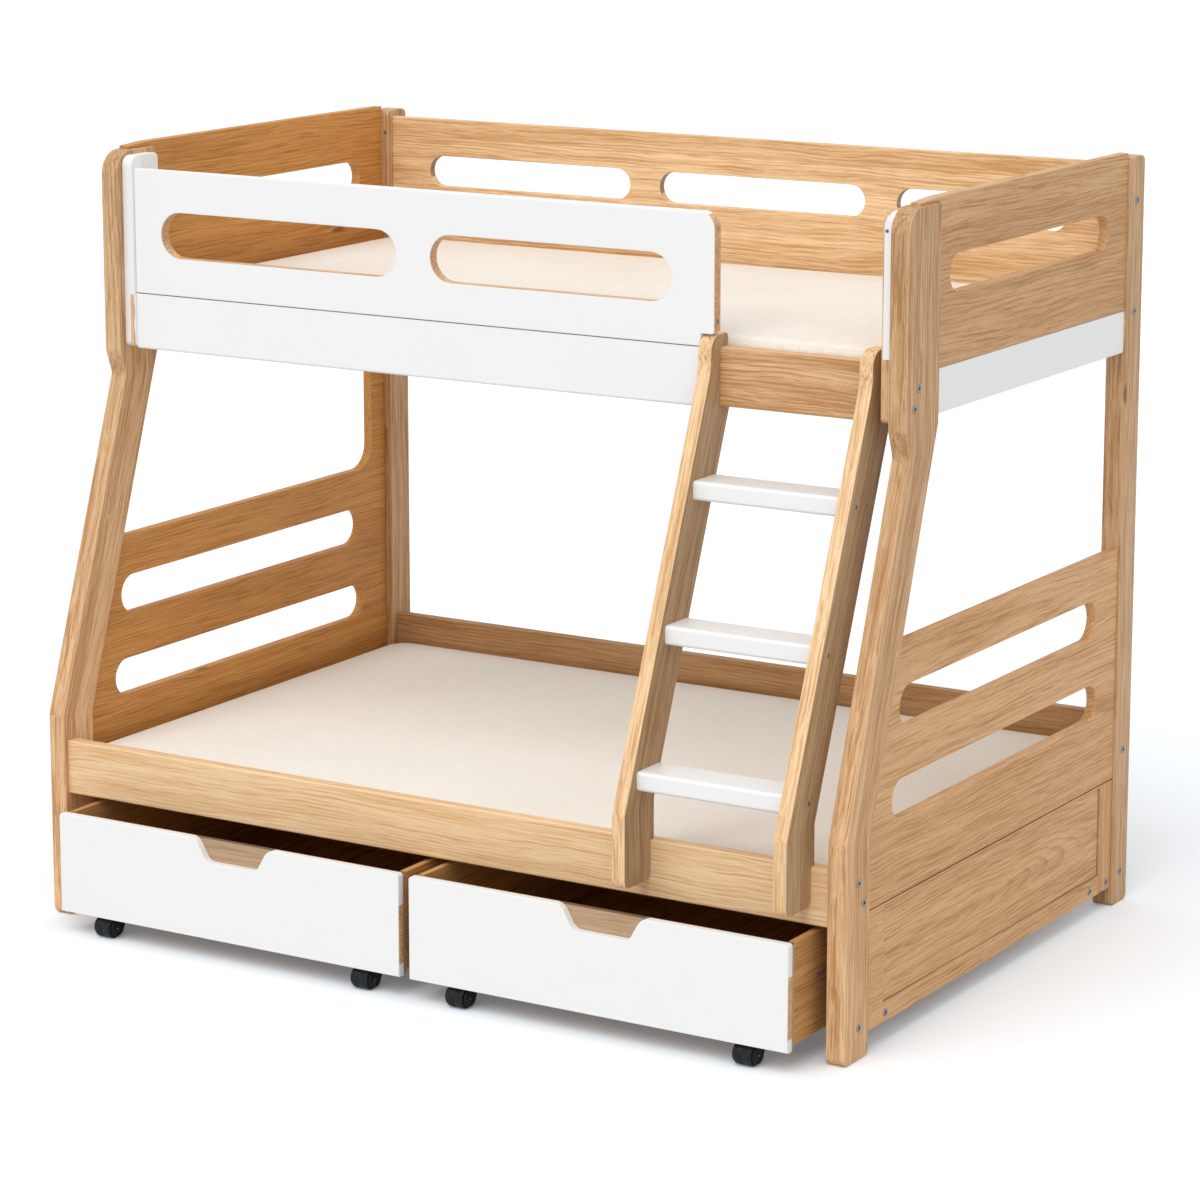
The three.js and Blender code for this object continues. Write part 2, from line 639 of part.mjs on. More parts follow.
function beds() {
  slatDeck("lower_slat_deck", LOW_RAIL_BACK, LOW_BACK_FRONT, LOW_SLAT_Z);
  slatDeck("upper_slat_deck", RAIL_BACK, BACK_PANEL_FRONT, UPPER_SLAT_Z);
  const x0 = LEG_THICK + PAD_GAP;
  const x1 = LENGTH - x0;
  const lower = padGeometry(x0, LOW_RAIL_BACK + PAD_GAP, x1, LOW_BACK_FRONT - PAD_GAP,
    LOW_SLAT_Z + SLAT_THICK, LOWER_PAD_HEIGHT);
  add("lower_mattress", lower, cloth);
  const upper = padGeometry(x0, HOOK_BACK + PAD_GAP, x1, BACK_PANEL_FRONT - PAD_GAP,
    UPPER_SLAT_Z + SLAT_THICK, UPPER_PAD_HEIGHT);
  add("upper_mattress", upper, cloth);
}

// The front edge of a ladder stile at height z, above its upright foot.
function stileFrontAt(z) {
  return STILE_FRONT + STILE_LEAN * (z - STILE_KNEE_FRONT);
}

// Each stile stands in front of the lower rail, hooks over it, leans back and is cut out round the upper
// rail, with a tuck of its back edge under the rail. Its hook stands upright in front of the guard.
function ladder() {
  const shape = outline([
    [STILE_FRONT, STILE_BOTTOM, STILE_FOOT_ROUND],
    [LOW_RAIL_SETBACK, STILE_BOTTOM, STILE_FOOT_ROUND],
    [LOW_RAIL_SETBACK, LOW_RAIL_TOP],
    [STILE_HOOK_BACK, LOW_RAIL_TOP],
    [STILE_HOOK_BACK, STILE_KNEE_BACK, BEND_ROUND],
    [RAIL_FRONT + STILE_TUCK, RAIL_BOTTOM],
    [RAIL_FRONT, RAIL_BOTTOM],
    [RAIL_FRONT, RAIL_TOP],
    [HOOK_BACK, RAIL_TOP],
    [HOOK_BACK, STILE_TOP, BEND_ROUND / 2],
    [HOOK_FRONT, STILE_TOP, STILE_TOP_ROUND],
    [HOOK_FRONT, HOOK_BEND, HOOK_BEND_ROUND],
    [STILE_FRONT, STILE_KNEE_FRONT, BEND_ROUND],
  ]);
  add("ladder_stile_left", endBoard(shape, LADDER_LEFT, STILE_THICK), oak);
  add("ladder_stile_right", endBoard(shape, LADDER_RIGHT - STILE_THICK, STILE_THICK), oak);
  TREAD_TOPS.forEach((z, i) => {
    const y = stileFrontAt(z) + TREAD_SETBACK;
    const section = rectangle(y, z - TREAD_THICK, y + TREAD_DEPTH, z, TREAD_ROUND);
    const x0 = LADDER_LEFT + STILE_THICK;
    const length = LADDER_WIDTH - 2 * STILE_THICK;
    add(`ladder_tread_${i + 1}`, endBoard(section, x0, length, THIN_EASE), white);
  });
}

// A drawer's own frame has x = 0 at its left end and y = 0 at the face of its front.
function drawer(side, group) {
  const end = DRAWER_LENGTH;
  const notch = end / 2 + NOTCH_OFFSET;
  const front = outline([
    [0, DRAWER_BOTTOM],
    [end, DRAWER_BOTTOM],
    [end, DRAWER_TOP, FRONT_ROUND],
    [notch + NOTCH_TOP_WIDTH / 2, DRAWER_TOP, NOTCH_TOP_ROUND],
    [notch + NOTCH_WIDTH / 2, DRAWER_TOP - NOTCH_DEPTH, NOTCH_ROUND],
    [notch - NOTCH_WIDTH / 2, DRAWER_TOP - NOTCH_DEPTH, NOTCH_ROUND],
    [notch - NOTCH_TOP_WIDTH / 2, DRAWER_TOP, NOTCH_TOP_ROUND],
    [0, DRAWER_TOP, FRONT_ROUND],
  ]);
  const node = (piece) => `drawer_${side}_${piece}`;
  add(node("front"), frontBoard(front, 0, FRONT_THICK), white, [0, 0, 0], group);

  const x0 = BOX_INSET;
  const x1 = end - BOX_INSET;
  const inner0 = x0 + BOX_THICK;
  const inner1 = x1 - BOX_THICK;
  const y0 = FRONT_THICK;
  const y1 = y0 + DRAWER_DEPTH;
  const boxTop = DRAWER_TOP - BOX_DROP;
  const innerBack = y0 + INNER_FRONT_THICK;
  const innerTop = DRAWER_TOP - INNER_FRONT_DROP;
  const wood = (piece, shape) => add(node(piece), shape, boxWood, [0, 0, 0], group);
  const innerBoard = rectangle(x0, DRAWER_BOTTOM + INNER_FRONT_LIFT, x1, innerTop);
  wood("inner_front", frontBoard(innerBoard, y0, INNER_FRONT_THICK, THIN_EASE));
  const sideBoard = rectangle(innerBack, BOX_BOTTOM, y1, boxTop);
  wood("side_left", endBoard(sideBoard, x0, BOX_THICK, THIN_EASE));
  wood("side_right", endBoard(sideBoard, inner1, BOX_THICK, THIN_EASE));
  const backBoard = rectangle(inner0, BOX_BOTTOM, inner1, boxTop - BACK_DROP);
  wood("back", frontBoard(backBoard, y1 - BOX_THICK, BOX_THICK, THIN_EASE));
  wood("floor", block(inner0, innerBack, BOX_BOTTOM, inner1, y1 - BOX_THICK, BOX_BOTTOM + FLOOR_THICK));

  const rows = { front: CASTOR_FRONT_INSET, back: y1 - CASTOR_BACK_INSET };
  const columns = { left: CASTOR_LEFT_INSET, right: end - CASTOR_RIGHT_INSET };
  for (const [row, y] of Object.entries(rows)) {
    for (const [column, x] of Object.entries(columns)) {
      castor(node(`${row}_${column}`), x, y, group);
    }
  }
}

// A fixed castor: a fork whose plate lies under the drawer floor behind the wheel, with round cheeks that
// carry the axle, and a wheel that turns on it.
function castor(name, x, y, group) {
  const inner = WHEEL_WIDTH / 2 + FORK_PLAY;
  const outer = inner + FORK_THICK;
  const top = BOX_BOTTOM;
  const under = top - FORK_THICK;
  const plateBack = FORK_LEAD + FORK_PLATE;
  const cheek = outline([
    [-FORK_RADIUS, AXLE_Z - FORK_RADIUS, FORK_RADIUS - 1],
    [FORK_RADIUS, AXLE_Z - FORK_RADIUS, FORK_RADIUS - 1],
    [plateBack, under - FORK_CLEAR],
    [plateBack, under],
    [FORK_LEAD, under],
    [FORK_LEAD, AXLE_Z + FORK_RADIUS],
    [-FORK_RADIUS, AXLE_Z + FORK_RADIUS, FORK_RADIUS - 1],
  ]);
  const plate = block(-outer, FORK_LEAD, under, outer, plateBack, top);
  const axle = new THREE.CylinderGeometry(AXLE_RADIUS, AXLE_RADIUS, 2 * outer, 12)
    .rotateZ(Math.PI / 2).translate(0, 0, AXLE_Z);
  const cheeks = [-outer, inner].map((cheekX) => endBoard(cheek, cheekX, FORK_THICK, 0));
  const fork = joined([...cheeks, plate, axle]);
  add(`${name}_fork`, fork, blackPlastic, [x, y, 0], group);

  const half = WHEEL_WIDTH / 2;
  const crown = 5;
  const shoulder = 1.5;
  const profile = [
    [WHEEL_BORE, -half],
    [WHEEL_RADIUS - crown, -half],
    [WHEEL_RADIUS - shoulder, -half + shoulder],
    [WHEEL_RADIUS, -half + crown],
    [WHEEL_RADIUS, half - crown],
    [WHEEL_RADIUS - shoulder, half - shoulder],
    [WHEEL_RADIUS - crown, half],
    [WHEEL_BORE, half],
    [WHEEL_BORE, -half],
  ].map(([r, h]) => new THREE.Vector2(r, h));
  const wheel = new THREE.LatheGeometry(profile, WHEEL_SIDES).rotateZ(-Math.PI / 2);
  add(`${name}_wheel`, wheel, blackPlastic, [x, y, AXLE_Z], group);
}

for (const side of ["left", "right"]) {
  frontLeg(side);
  backPost(side);
  upperEnd(side);
  lowerEnd(side);
  kickBoard(side);
  cheekBoard(side);
}
upperFront();
upperBack();
lowerRails();
beds();
ladder();

const drawerPlaces = { left: DRAWER_START, right: DRAWER_START + DRAWER_LENGTH + DRAWER_MIDDLE_GAP };
for (const [side, x] of Object.entries(drawerPlaces)) {
  const group = new THREE.Group();
  group.position.set(x, -DRAWER_OUT, 0);
  bed.add(group);
  drawer(side, group);
}

bed.position.set(-LENGTH / 2, -(DEPTH - DRAWER_OUT) / 2, 0);
const model = new THREE.Group();
model.add(bed);

export default model;
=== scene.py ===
"""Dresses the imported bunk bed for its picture.

The CAD frame gives every rigid board. This script gives the boards their finishes, replaces the mattress
pads and the castor wheels by finer surfaces, adds the bolts, plugs and screws, and sets the floor, the
lights and the camera. Sizes are in metres. Places are written as the bed is laid out: x from the left end,
y from the front edge of the legs, z from the floor.
"""

from __future__ import annotations

import json
import logging
import math
from collections.abc import Callable
from dataclasses import dataclass, field, replace
from enum import Enum
from functools import cache

import bmesh
import bpy
import numpy as np
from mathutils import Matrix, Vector

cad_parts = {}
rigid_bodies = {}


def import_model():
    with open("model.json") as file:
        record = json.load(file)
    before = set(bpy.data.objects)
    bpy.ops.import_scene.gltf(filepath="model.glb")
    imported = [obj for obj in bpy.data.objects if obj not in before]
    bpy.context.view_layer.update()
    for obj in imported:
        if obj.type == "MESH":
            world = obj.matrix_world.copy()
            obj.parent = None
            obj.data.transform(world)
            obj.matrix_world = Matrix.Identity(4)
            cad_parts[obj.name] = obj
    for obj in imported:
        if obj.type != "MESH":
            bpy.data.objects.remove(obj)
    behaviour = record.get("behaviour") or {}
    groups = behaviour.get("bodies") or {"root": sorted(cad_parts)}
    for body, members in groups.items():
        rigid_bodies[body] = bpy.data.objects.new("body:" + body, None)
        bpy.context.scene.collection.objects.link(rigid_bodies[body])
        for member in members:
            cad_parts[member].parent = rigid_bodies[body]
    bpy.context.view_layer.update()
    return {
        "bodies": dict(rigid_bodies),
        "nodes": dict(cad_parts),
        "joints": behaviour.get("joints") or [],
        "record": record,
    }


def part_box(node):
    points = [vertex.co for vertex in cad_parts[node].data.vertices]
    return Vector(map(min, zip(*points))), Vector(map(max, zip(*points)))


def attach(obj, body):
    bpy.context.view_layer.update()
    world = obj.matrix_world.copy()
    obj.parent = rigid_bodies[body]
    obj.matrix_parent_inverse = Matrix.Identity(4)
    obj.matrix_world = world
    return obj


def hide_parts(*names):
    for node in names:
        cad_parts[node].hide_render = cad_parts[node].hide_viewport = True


LOG = logging.getLogger("bunk_bed")
LAYOUT_ORIGIN = np.array([1.040, 0.6525, 0.0])
FRAME_BODY = "frame"
SIDES = ("left", "right")
CREASE = math.radians(40)
TYRE_CREASE = math.radians(50)
SAME_POINT = 1e-6
NO_LENGTH = 1e-7
Triple = tuple[float, float, float]
Pairs = tuple[tuple[float, float], ...]
Form = tuple[np.ndarray, np.ndarray]
Piece = bpy.types.Object
Look = bpy.types.Material
Tree = bpy.types.NodeTree


def from_layout(points: np.ndarray) -> np.ndarray:
    """Returns points of the bed's layout, counted from the middle of the bed's base as the frame does."""
    return np.asarray(points, dtype=float) - LAYOUT_ORIGIN


def box_of(node: str) -> Form:
    """Returns the lowest and the highest corner of a CAD node's box."""
    low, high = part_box(node)
    return np.array(low), np.array(high)


# Meshes


def joined(*parts: np.ndarray | float) -> np.ndarray:
    """Stacks coordinates, each spread over the shape of the others, along a new last axis."""
    return np.stack(np.broadcast_arrays(*parts), axis=-1)


def grid_faces(rows: int, columns: int, closed: bool = True) -> np.ndarray:
    """Joins a grid of points, where point (i, j) has the index i * columns + j, into quads.

    Args:
        rows: how many rings or lines of points there are.
        columns: how many points each of them has.
        closed: whether each ring's last point joins its first.

    Returns:
        Four indices a face.
    """
    i = np.arange(rows - 1)[:, None]
    j = np.arange(columns if closed else columns - 1)[None, :]
    here = i * columns + j
    beside = i * columns + (j + 1) % columns
    return joined(here, beside, beside + columns, here + columns).reshape(-1, 4)


def in_scene(name: str, data: bpy.types.ID) -> Piece:
    """Puts an object of that name and data into the scene."""
    piece = bpy.data.objects.new(name, data)
    bpy.context.scene.collection.objects.link(piece)
    return piece


def mesh_piece(name: str, points: np.ndarray, faces: np.ndarray, smooth: bool = True) -> Piece:
    """Makes a mesh object at the origin from arrays.

    Points that fall together, such as a pole's, are merged, and the normals are turned outwards.

    Args:
        name: the piece's name.
        points: its points in the row frame.
        faces: its faces, as indices.
        smooth: whether they are shaded smooth.

    Returns:
        The new object.
    """
    mesh = bpy.data.meshes.new(name)
    mesh.from_pydata(np.asarray(points).reshape(-1, 3).tolist(), [], np.asarray(faces).tolist())
    work = bmesh.new()
    work.from_mesh(mesh)
    bmesh.ops.remove_doubles(work, verts=work.verts, dist=SAME_POINT)
    bmesh.ops.dissolve_degenerate(work, edges=work.edges, dist=NO_LENGTH)
    bmesh.ops.recalc_face_normals(work, faces=work.faces)
    work.to_mesh(mesh)
    work.free()
    mesh.polygons.foreach_set("use_smooth", np.full(len(mesh.polygons), smooth))
    return in_scene(name, mesh)


def settle(piece: Piece, material: Look, body: str,
           crease: float | None = None) -> None:
    """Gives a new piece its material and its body.

    Args:
        piece: the piece.
        material: its material.
        body: the body or the node that it rides on.
        crease: the angle over which its edges are split, or None.
    """
    if crease is not None:
        piece.modifiers.new("crease", "EDGE_SPLIT").split_angle = crease
    piece.data.materials.append(material)
    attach(piece, body)


def vertices_of(mesh: bpy.types.Mesh) -> np.ndarray:
    """Returns a mesh's points as an array of (x, y, z)."""
    points = np.empty(len(mesh.vertices) * 3, dtype=np.float32)
    mesh.vertices.foreach_get("co", points)
    return points.reshape(-1, 3).astype(float)


def baked(piece: Piece) -> None:
    """Puts a piece's modifiers into its mesh and takes them off."""
    graph = bpy.context.evaluated_depsgraph_get()
    mesh = bpy.data.meshes.new_from_object(piece.evaluated_get(graph), depsgraph=graph)
    piece.modifiers.clear()
    piece.data = mesh


def quarter_round(steps: int) -> Form:
    """Returns the sine and the cosine of evenly spaced angles from 0 to a right angle."""
    turn = np.linspace(0, np.pi / 2, steps)
    return np.sin(turn), np.cos(turn)


def dome(radius: float, base: float, rise: float, steps: int) -> np.ndarray:
    """Returns a quarter ellipse as (radius, height), from the radius at the base up to the axis."""
    sine, cosine = quarter_round(steps)
    return joined(radius * cosine, base + rise * sine)


def revolved(profile: np.ndarray, segments: int, corners: int = 0,
             corner_share: np.ndarray | None = None) -> Form:
    """Turns a profile of (radius, height) about the x axis.

    The ring at angle t is radius * (cos t, sin t). A polygon's radius is r / cos of the angle to the nearest
    flat, times the cosine of half a side's angle.

    Args:
        profile: the profile.
        segments: how many points each ring has.
        corners: how many corners the polygon has, or 0 for none.
        corner_share: for each profile point, 0 for round and 1 for the polygon.

    Returns:
        The points and the faces.
    """
    turn = np.linspace(0, 2 * np.pi, segments, endpoint=False)[None, :]
    radius = profile[:, :1]
    if corners:
        side = 2 * np.pi / corners
        polygon = math.cos(side / 2) / np.cos(np.mod(turn, side) - side / 2)
        share = corner_share[:, None]
        radius = radius * (1 - share + share * polygon)
    points = joined(profile[:, 1:], radius * np.cos(turn), radius * np.sin(turn))
    return points.reshape(-1, 3), grid_faces(len(profile), segments)


def repeated(form: Form, places: np.ndarray, flips: np.ndarray) -> Form:
    """Copies a form that faces +x to several places in a single mesh.

    Args:
        form: its points and faces.
        places: where its copies go, in the row frame.
        flips: for each place, 1 to face +x and -1 to face -x.

    Returns:
        The points and the faces of all the copies.
    """
    points, faces = form
    turned = points[None, :, :] * joined(flips, flips, 1.0)[:, None, :]
    steps = np.arange(len(places))[:, None, None] * len(points)
    points = (turned + places[:, None, :]).reshape(-1, 3)
    return points, (faces[None, :, :] + steps).reshape(-1, faces.shape[1])


def turned_to_front(form: Form) -> Form:
    """Turns a form that faces +x so that it faces -y, by a quarter turn about z."""
    points, faces = form
    return points[..., [1, 0, 2]] * np.array([1.0, -1.0, 1.0]), faces


# Shader nodes


def opaque(colour: Triple) -> tuple[float, float, float, float]:
    """Returns a colour with its alpha."""
    return (*colour, 1.0)


def reckoned(operation: str, turned: bool = False) -> Callable[[Signal, object], Signal]:
    """Makes an operator for signals, a Math node of that operation whose two values may be turned round."""
    def operator(self: Signal, other: object) -> Signal:
        """Returns the node's result."""
        return self.made.math(operation, *((other, self) if turned else (self, other)))
    return operator


class Signal:
    """A node's output that can be reckoned with: each sum, product or comparison is a Math node."""

    __add__ = reckoned("ADD")
    __sub__ = reckoned("SUBTRACT")
    __rsub__ = reckoned("SUBTRACT", turned=True)
    __mul__ = reckoned("MULTIPLY")
    __gt__ = reckoned("GREATER_THAN")
    __lt__ = reckoned("LESS_THAN")

    def __init__(self, made: Nodes, socket: bpy.types.NodeSocket) -> None:
        """Keeps a socket and the tree that it lies in."""
        self.made = made
        self.socket = socket


class Nodes:
    """A shader node tree in the making, with short calls for its nodes and links."""

    def __init__(self, tree: Tree) -> None:
        """Takes up a tree."""
        self.tree = tree

    def put(self, socket: bpy.types.NodeSocket, value: object) -> None:
        """Links an input to a signal, or sets its value."""
        if isinstance(value, Signal):
            self.tree.links.new(value.socket, socket)
        else:
            socket.default_value = value

    def node(self, kind: str, inputs: dict[object, object], **settings: object) -> bpy.types.Node:
        """Adds a node.

        Args:
            kind: its type, less the ShaderNode that all types start with.
            inputs: for each input's name or number, a signal or a plain value.
            settings: its own settings.
        """
        node = self.tree.nodes.new(f"ShaderNode{kind}")
        for label, value in settings.items():
            setattr(node, label, value)
        for label, value in inputs.items():
            self.put(node.inputs[label], value)
        return node

    def math(self, operation: str, *values: object, clamp: bool = False) -> Signal:
        """Adds a Math node, and returns its result, kept between 0 and 1 where clamp is set."""
        node = self.node("Math", dict(enumerate(values)), operation=operation, use_clamp=clamp)
        return Signal(self, node.outputs[0])

    def noise(self, vector: object, scale: object, detail: float = 2.0, roughness: float = 0.5) -> Signal:
        """Adds a Noise Texture.

        Args:
            vector: where it is read.
            scale: its scale.
            detail: its number of octaves.
            roughness: how much the finer octaves count.

        Returns:
            Its factor, about 0.3 to 0.7.
        """
        inputs = {"Vector": vector, "Scale": scale, "Detail": detail, "Roughness": roughness}
        return Signal(self, self.node("TexNoise", inputs).outputs["Fac"])

    def stretched(self, place: list[Signal], along: float, across: float, detail: float = 2.0,
                  roughness: float = 0.5) -> Signal:
        """Adds a noise that is drawn out along the grain.

        Args:
            place: the parts along, across and through the board.
            along: its scale along the grain.
            across: its scale across the grain and through the board.
            detail: as for noise().
            roughness: as for noise().
        """
        scaled = (part * scale for part, scale in zip(place, (along, across, across)))
        return self.noise(self.join(*scaled), 1.0, detail, roughness)

    def split(self, vector: object) -> list[Signal]:
        """Returns the three parts of a vector."""
        return [Signal(self, socket) for socket in self.node("SeparateXYZ", {0: vector}).outputs]

    def join(self, *values: object) -> Signal:
        """Returns the vector of three values."""
        return Signal(self, self.node("CombineXYZ", dict(enumerate(values))).outputs[0])

    def span(self, value: object, low: float, high: float, to_low: float = 0.0, to_high: float = 1.0,
             kind: str = "LINEAR") -> Signal:
        """Maps a value's range from low to high onto the other two ends, and clamps it there."""
        inputs = {"Value": value, "From Min": low, "From Max": high, "To Min": to_low, "To Max": to_high}
        return Signal(self, self.node("MapRange", inputs, interpolation_type=kind).outputs["Result"])

    def blend(self, share: object, first: object, second: object) -> Signal:
        """Mixes two colours, by a share that is 0 for the first and 1 for the second."""
        node = self.node("Mix", {}, data_type="RGBA")
        for socket, value in zip((node.inputs["Factor"], *node.inputs[6:8]), (share, first, second)):
            self.put(socket, value)
        return Signal(self, node.outputs[2])

    def seen_directly(self) -> Signal:
        """Returns 1 for what the camera, a mirror or glass shows, and 0 for what lights the object."""
        path = self.node("LightPath", {}).outputs
        total = Signal(self, path["Is Camera Ray"])
        for label in ("Is Glossy Ray", "Is Transmission Ray"):
            total = self.math("MAXIMUM", total, Signal(self, path[label]))
        return total


class Group(Nodes):
    """A shader node group in the making."""

    def __init__(self, name: str, inputs: dict[str, object], outputs: tuple[str, ...]) -> None:
        """Starts a group.

        Args:
            name: the group's name.
            inputs: the default value of each input: None for a vector, four numbers for a colour.
            outputs: the names of its outputs, of which Color is a colour.
        """
        super().__init__(bpy.data.node_groups.new(name, "ShaderNodeTree"))
        for label, value in inputs.items():
            kind = "Vector" if value is None else "Color" if isinstance(value, tuple) else "Float"
            socket = self.tree.interface.new_socket(label, in_out="INPUT", socket_type=f"NodeSocket{kind}")
            if value is not None:
                socket.default_value = value
        for label in outputs:
            kind = "Color" if label == "Color" else "Float"
            self.tree.interface.new_socket(label, in_out="OUTPUT", socket_type=f"NodeSocket{kind}")
        self.source = self.tree.nodes.new("NodeGroupInput")
        self.sink = self.tree.nodes.new("NodeGroupOutput")

    def given(self, label: str) -> Signal:
        """Returns the group's own input of that name."""
        return Signal(self, self.source.outputs[label])

    def give(self, label: str, value: object) -> None:
        """Feeds the group's own output of that name."""
        self.put(self.sink.inputs[label], value)


@dataclass(frozen=True)
class Streaks:
    """One layer of drawn-out noise in the grain: its scales, the span of it that is used, and its weight."""

    along: float
    across: float
    low: float
    high: float
    weight: float
    octaves: float = 2.0
    roughness: float = 0.5


STREAKS = {
    "fibre": Streaks(16.0, 560.0, 0.36, 0.64, 0.34, roughness=0.6),
    "streak": Streaks(6.0, 230.0, 0.50, 0.66, 0.46),
    "band": Streaks(2.2, 62.0, 0.38, 0.64, 0.26),
    "broad": Streaks(0.9, 15.0, 0.36, 0.64, 0.20, octaves=1.0),
    "pore": Streaks(40.0, 900.0, 0.58, 0.70, 0.20, octaves=1.0),
}
SEED_STEP = 1.37
STAVE_STEP = 3.1
STAVE_TURN = 2.4
RINGS_PER_METRE = 112.0
LATE_WOOD = (0.52, 0.92)
LINE_FADE = (0.40, 0.60, 0.15, 1.0)
LINE_WEIGHT = 0.42
STAVE_WEIGHT = 0.09
TONE_SHIFT = -0.17
STAVE_SHIFT = 0.38
KNOT_ALONG = 1.2
KNOT_ACROSS = 5.0
KNOT_FALL = -60.0
KNOT_PUSH = 0.6
KNOT_EDGE = (0.020, 0.042)
KNOT_COLOUR = (0.16, 0.065, 0.022, 1.0)
KNOT_SHARE = 0.75
# Share of the painted highlight on the eased edges
EDGE_HIGHLIGHT_SHARE = 0.75
DRIFT = 0.05
DRIFT_SCALES = (1.1, 4.0)
WOBBLE = 0.011
WOBBLE_SCALES = (9.0, 22.0)
LINE_SCALES = (4.0, 34.0)
LINE_DEPTH = 0.25
PORE_DEPTH = 0.55
FIBRE_DEPTH = 0.2
ROUGHER = 0.10


@cache
def board_grain() -> Tree:
    """Builds the grain of a sawn board.

    The board's length is the vector's x, and staves across its width each come from their own stretch of wood.
    Growth lines are a saw wave of the distance from a trunk axis that lies beside the board by the heart's
    offset and behind it by the depth, which grows by the taper: near the heart they are arches. Sparse knots,
    the points of a stretched Voronoi pattern, push them aside by a bell curve. Fibres, streaks, bands and
    pores are noise that is drawn out along the board. Facing is how squarely the surface looks along the
    thickness: 4 f (1 - f) is the eased edge, which gets a painted highlight. Those faces are scaled by the
    side as painted shade or painted light, the whole board by the fade, and the painted shade of rims, upper
    edges and seams is taken off.

    Returns:
        The group, which puts out a colour, a height and a roughness shift.
    """
    made = Group("board_grain", {
        "Vector": None, "Seed": 0.0, "Light": (0.8, 0.6, 0.4, 1), "Dark": (0.5, 0.3, 0.15, 1), "Heart": 0.2,
        "Depth": 0.06, "Taper": 0.02, "Staves": 0.0, "Contrast": 1.0, "Facing": 1.0, "Side": 1.0, "Fade": 0.0,
        "Shade": 0.0}, ("Color", "Height", "Roughness"))
    seed = made.given("Seed")
    run, across, deep = made.split(made.given("Vector"))
    stave = made.math("FLOOR", across * made.given("Staves") + STAVE_SHIFT)
    hand = made.math("SINE", stave * STAVE_TURN + seed)
    along = run + seed * SEED_STEP + stave * STAVE_STEP

    spots = made.join(along * KNOT_ALONG, across * KNOT_ACROSS, deep * KNOT_ACROSS)
    knots = made.node("TexVoronoi", {"Scale": 1.0, "Vector": spots}).outputs
    away = Signal(made, knots["Distance"])
    knot_across = made.math("DIVIDE", made.split(Signal(made, knots["Position"]))[1], KNOT_ACROSS)
    near = made.math("EXPONENT", away * away * KNOT_FALL)
    push = (knot_across - across) * (near * KNOT_PUSH)
    knot = made.span(away, *KNOT_EDGE, 1.0, 0.0, kind="SMOOTHSTEP")

    sawn = [along, across, deep]
    drift = (made.stretched(sawn, *DRIFT_SCALES) - 0.5) * DRIFT
    wobble = (made.stretched(sawn, *WOBBLE_SCALES) - 0.5) * WOBBLE
    side = across + drift + wobble + push
    offset = side - made.given("Heart")
    depth = deep + run * made.given("Taper") + made.given("Depth")
    rings = made.math("FRACT", made.math("SQRT", offset * offset + depth * depth) * RINGS_PER_METRE)
    late = made.span(rings, *LATE_WOOD) * made.span(rings, LATE_WOOD[1], 1.0, 1.0, 0.0)
    grown = [along, side, deep]
    line = late * made.span(made.stretched(grown, *LINE_SCALES), *LINE_FADE)
    layer = {name: made.span(made.stretched(grown, s.along, s.across, s.octaves, s.roughness), s.low, s.high)
             for name, s in STREAKS.items()}
    fibre, streak, band, broad, pore = (layer[name] * s.weight for name, s in STREAKS.items())
    tone = fibre + streak + band + broad + line * LINE_WEIGHT + pore + hand * STAVE_WEIGHT + TONE_SHIFT
    share = made.math("MULTIPLY", tone, made.given("Contrast"), clamp=True)

    facing = made.given("Facing")
    light = made.given("Light")
    # Painted highlight: the eased edges, where facing is about one half, are lightened towards the light
    # colour
    arris = made.math("MULTIPLY", facing * 4.0, 1.0 - facing, clamp=True)
    colour = made.blend(arris * EDGE_HIGHLIGHT_SHARE, made.blend(share, light, made.given("Dark")), light)
    colour = made.blend(knot * KNOT_SHARE, colour, KNOT_COLOUR)
    # Painted shade or painted light: the faces that look along the thickness are scaled by the side
    painted_side_light = facing * facing * (made.given("Side") - 1.0)
    scale = painted_side_light + run * made.given("Fade") + 1.0 - made.given("Shade")
    scaled = made.node("VectorMath", {0: colour, "Scale": scale}, operation="SCALE")
    made.give("Color", Signal(made, scaled.outputs[0]))
    hollow = line * LINE_DEPTH + layer["pore"] * PORE_DEPTH + layer["fibre"] * FIBRE_DEPTH
    made.give("Height", 1.0 - hollow)
    made.give("Roughness", share * ROUGHER)
    return made.tree


@cache
def fine_mottle() -> Tree:
    """Builds the slight unevenness of paint, plastic and metal.

    Slow and fine noise are added about zero, and the fine part alone is the height.
    """
    made = Group("fine_mottle", {"Vector": None, "Slow": 6.0, "Fine": 420.0}, ("Shift", "Height"))
    slow = made.noise(made.given("Vector"), made.given("Slow"))
    fine = made.noise(made.given("Vector"), made.given("Fine"))
    made.give("Shift", slow - 0.5 + (fine - 0.5) * 0.5)
    made.give("Height", fine)
    return made.tree


SLUB_LONG = 55.0
SLUB_WIDE = 260.0
SLUB_PULL = 2.5
SLUB_SHARE = 0.70


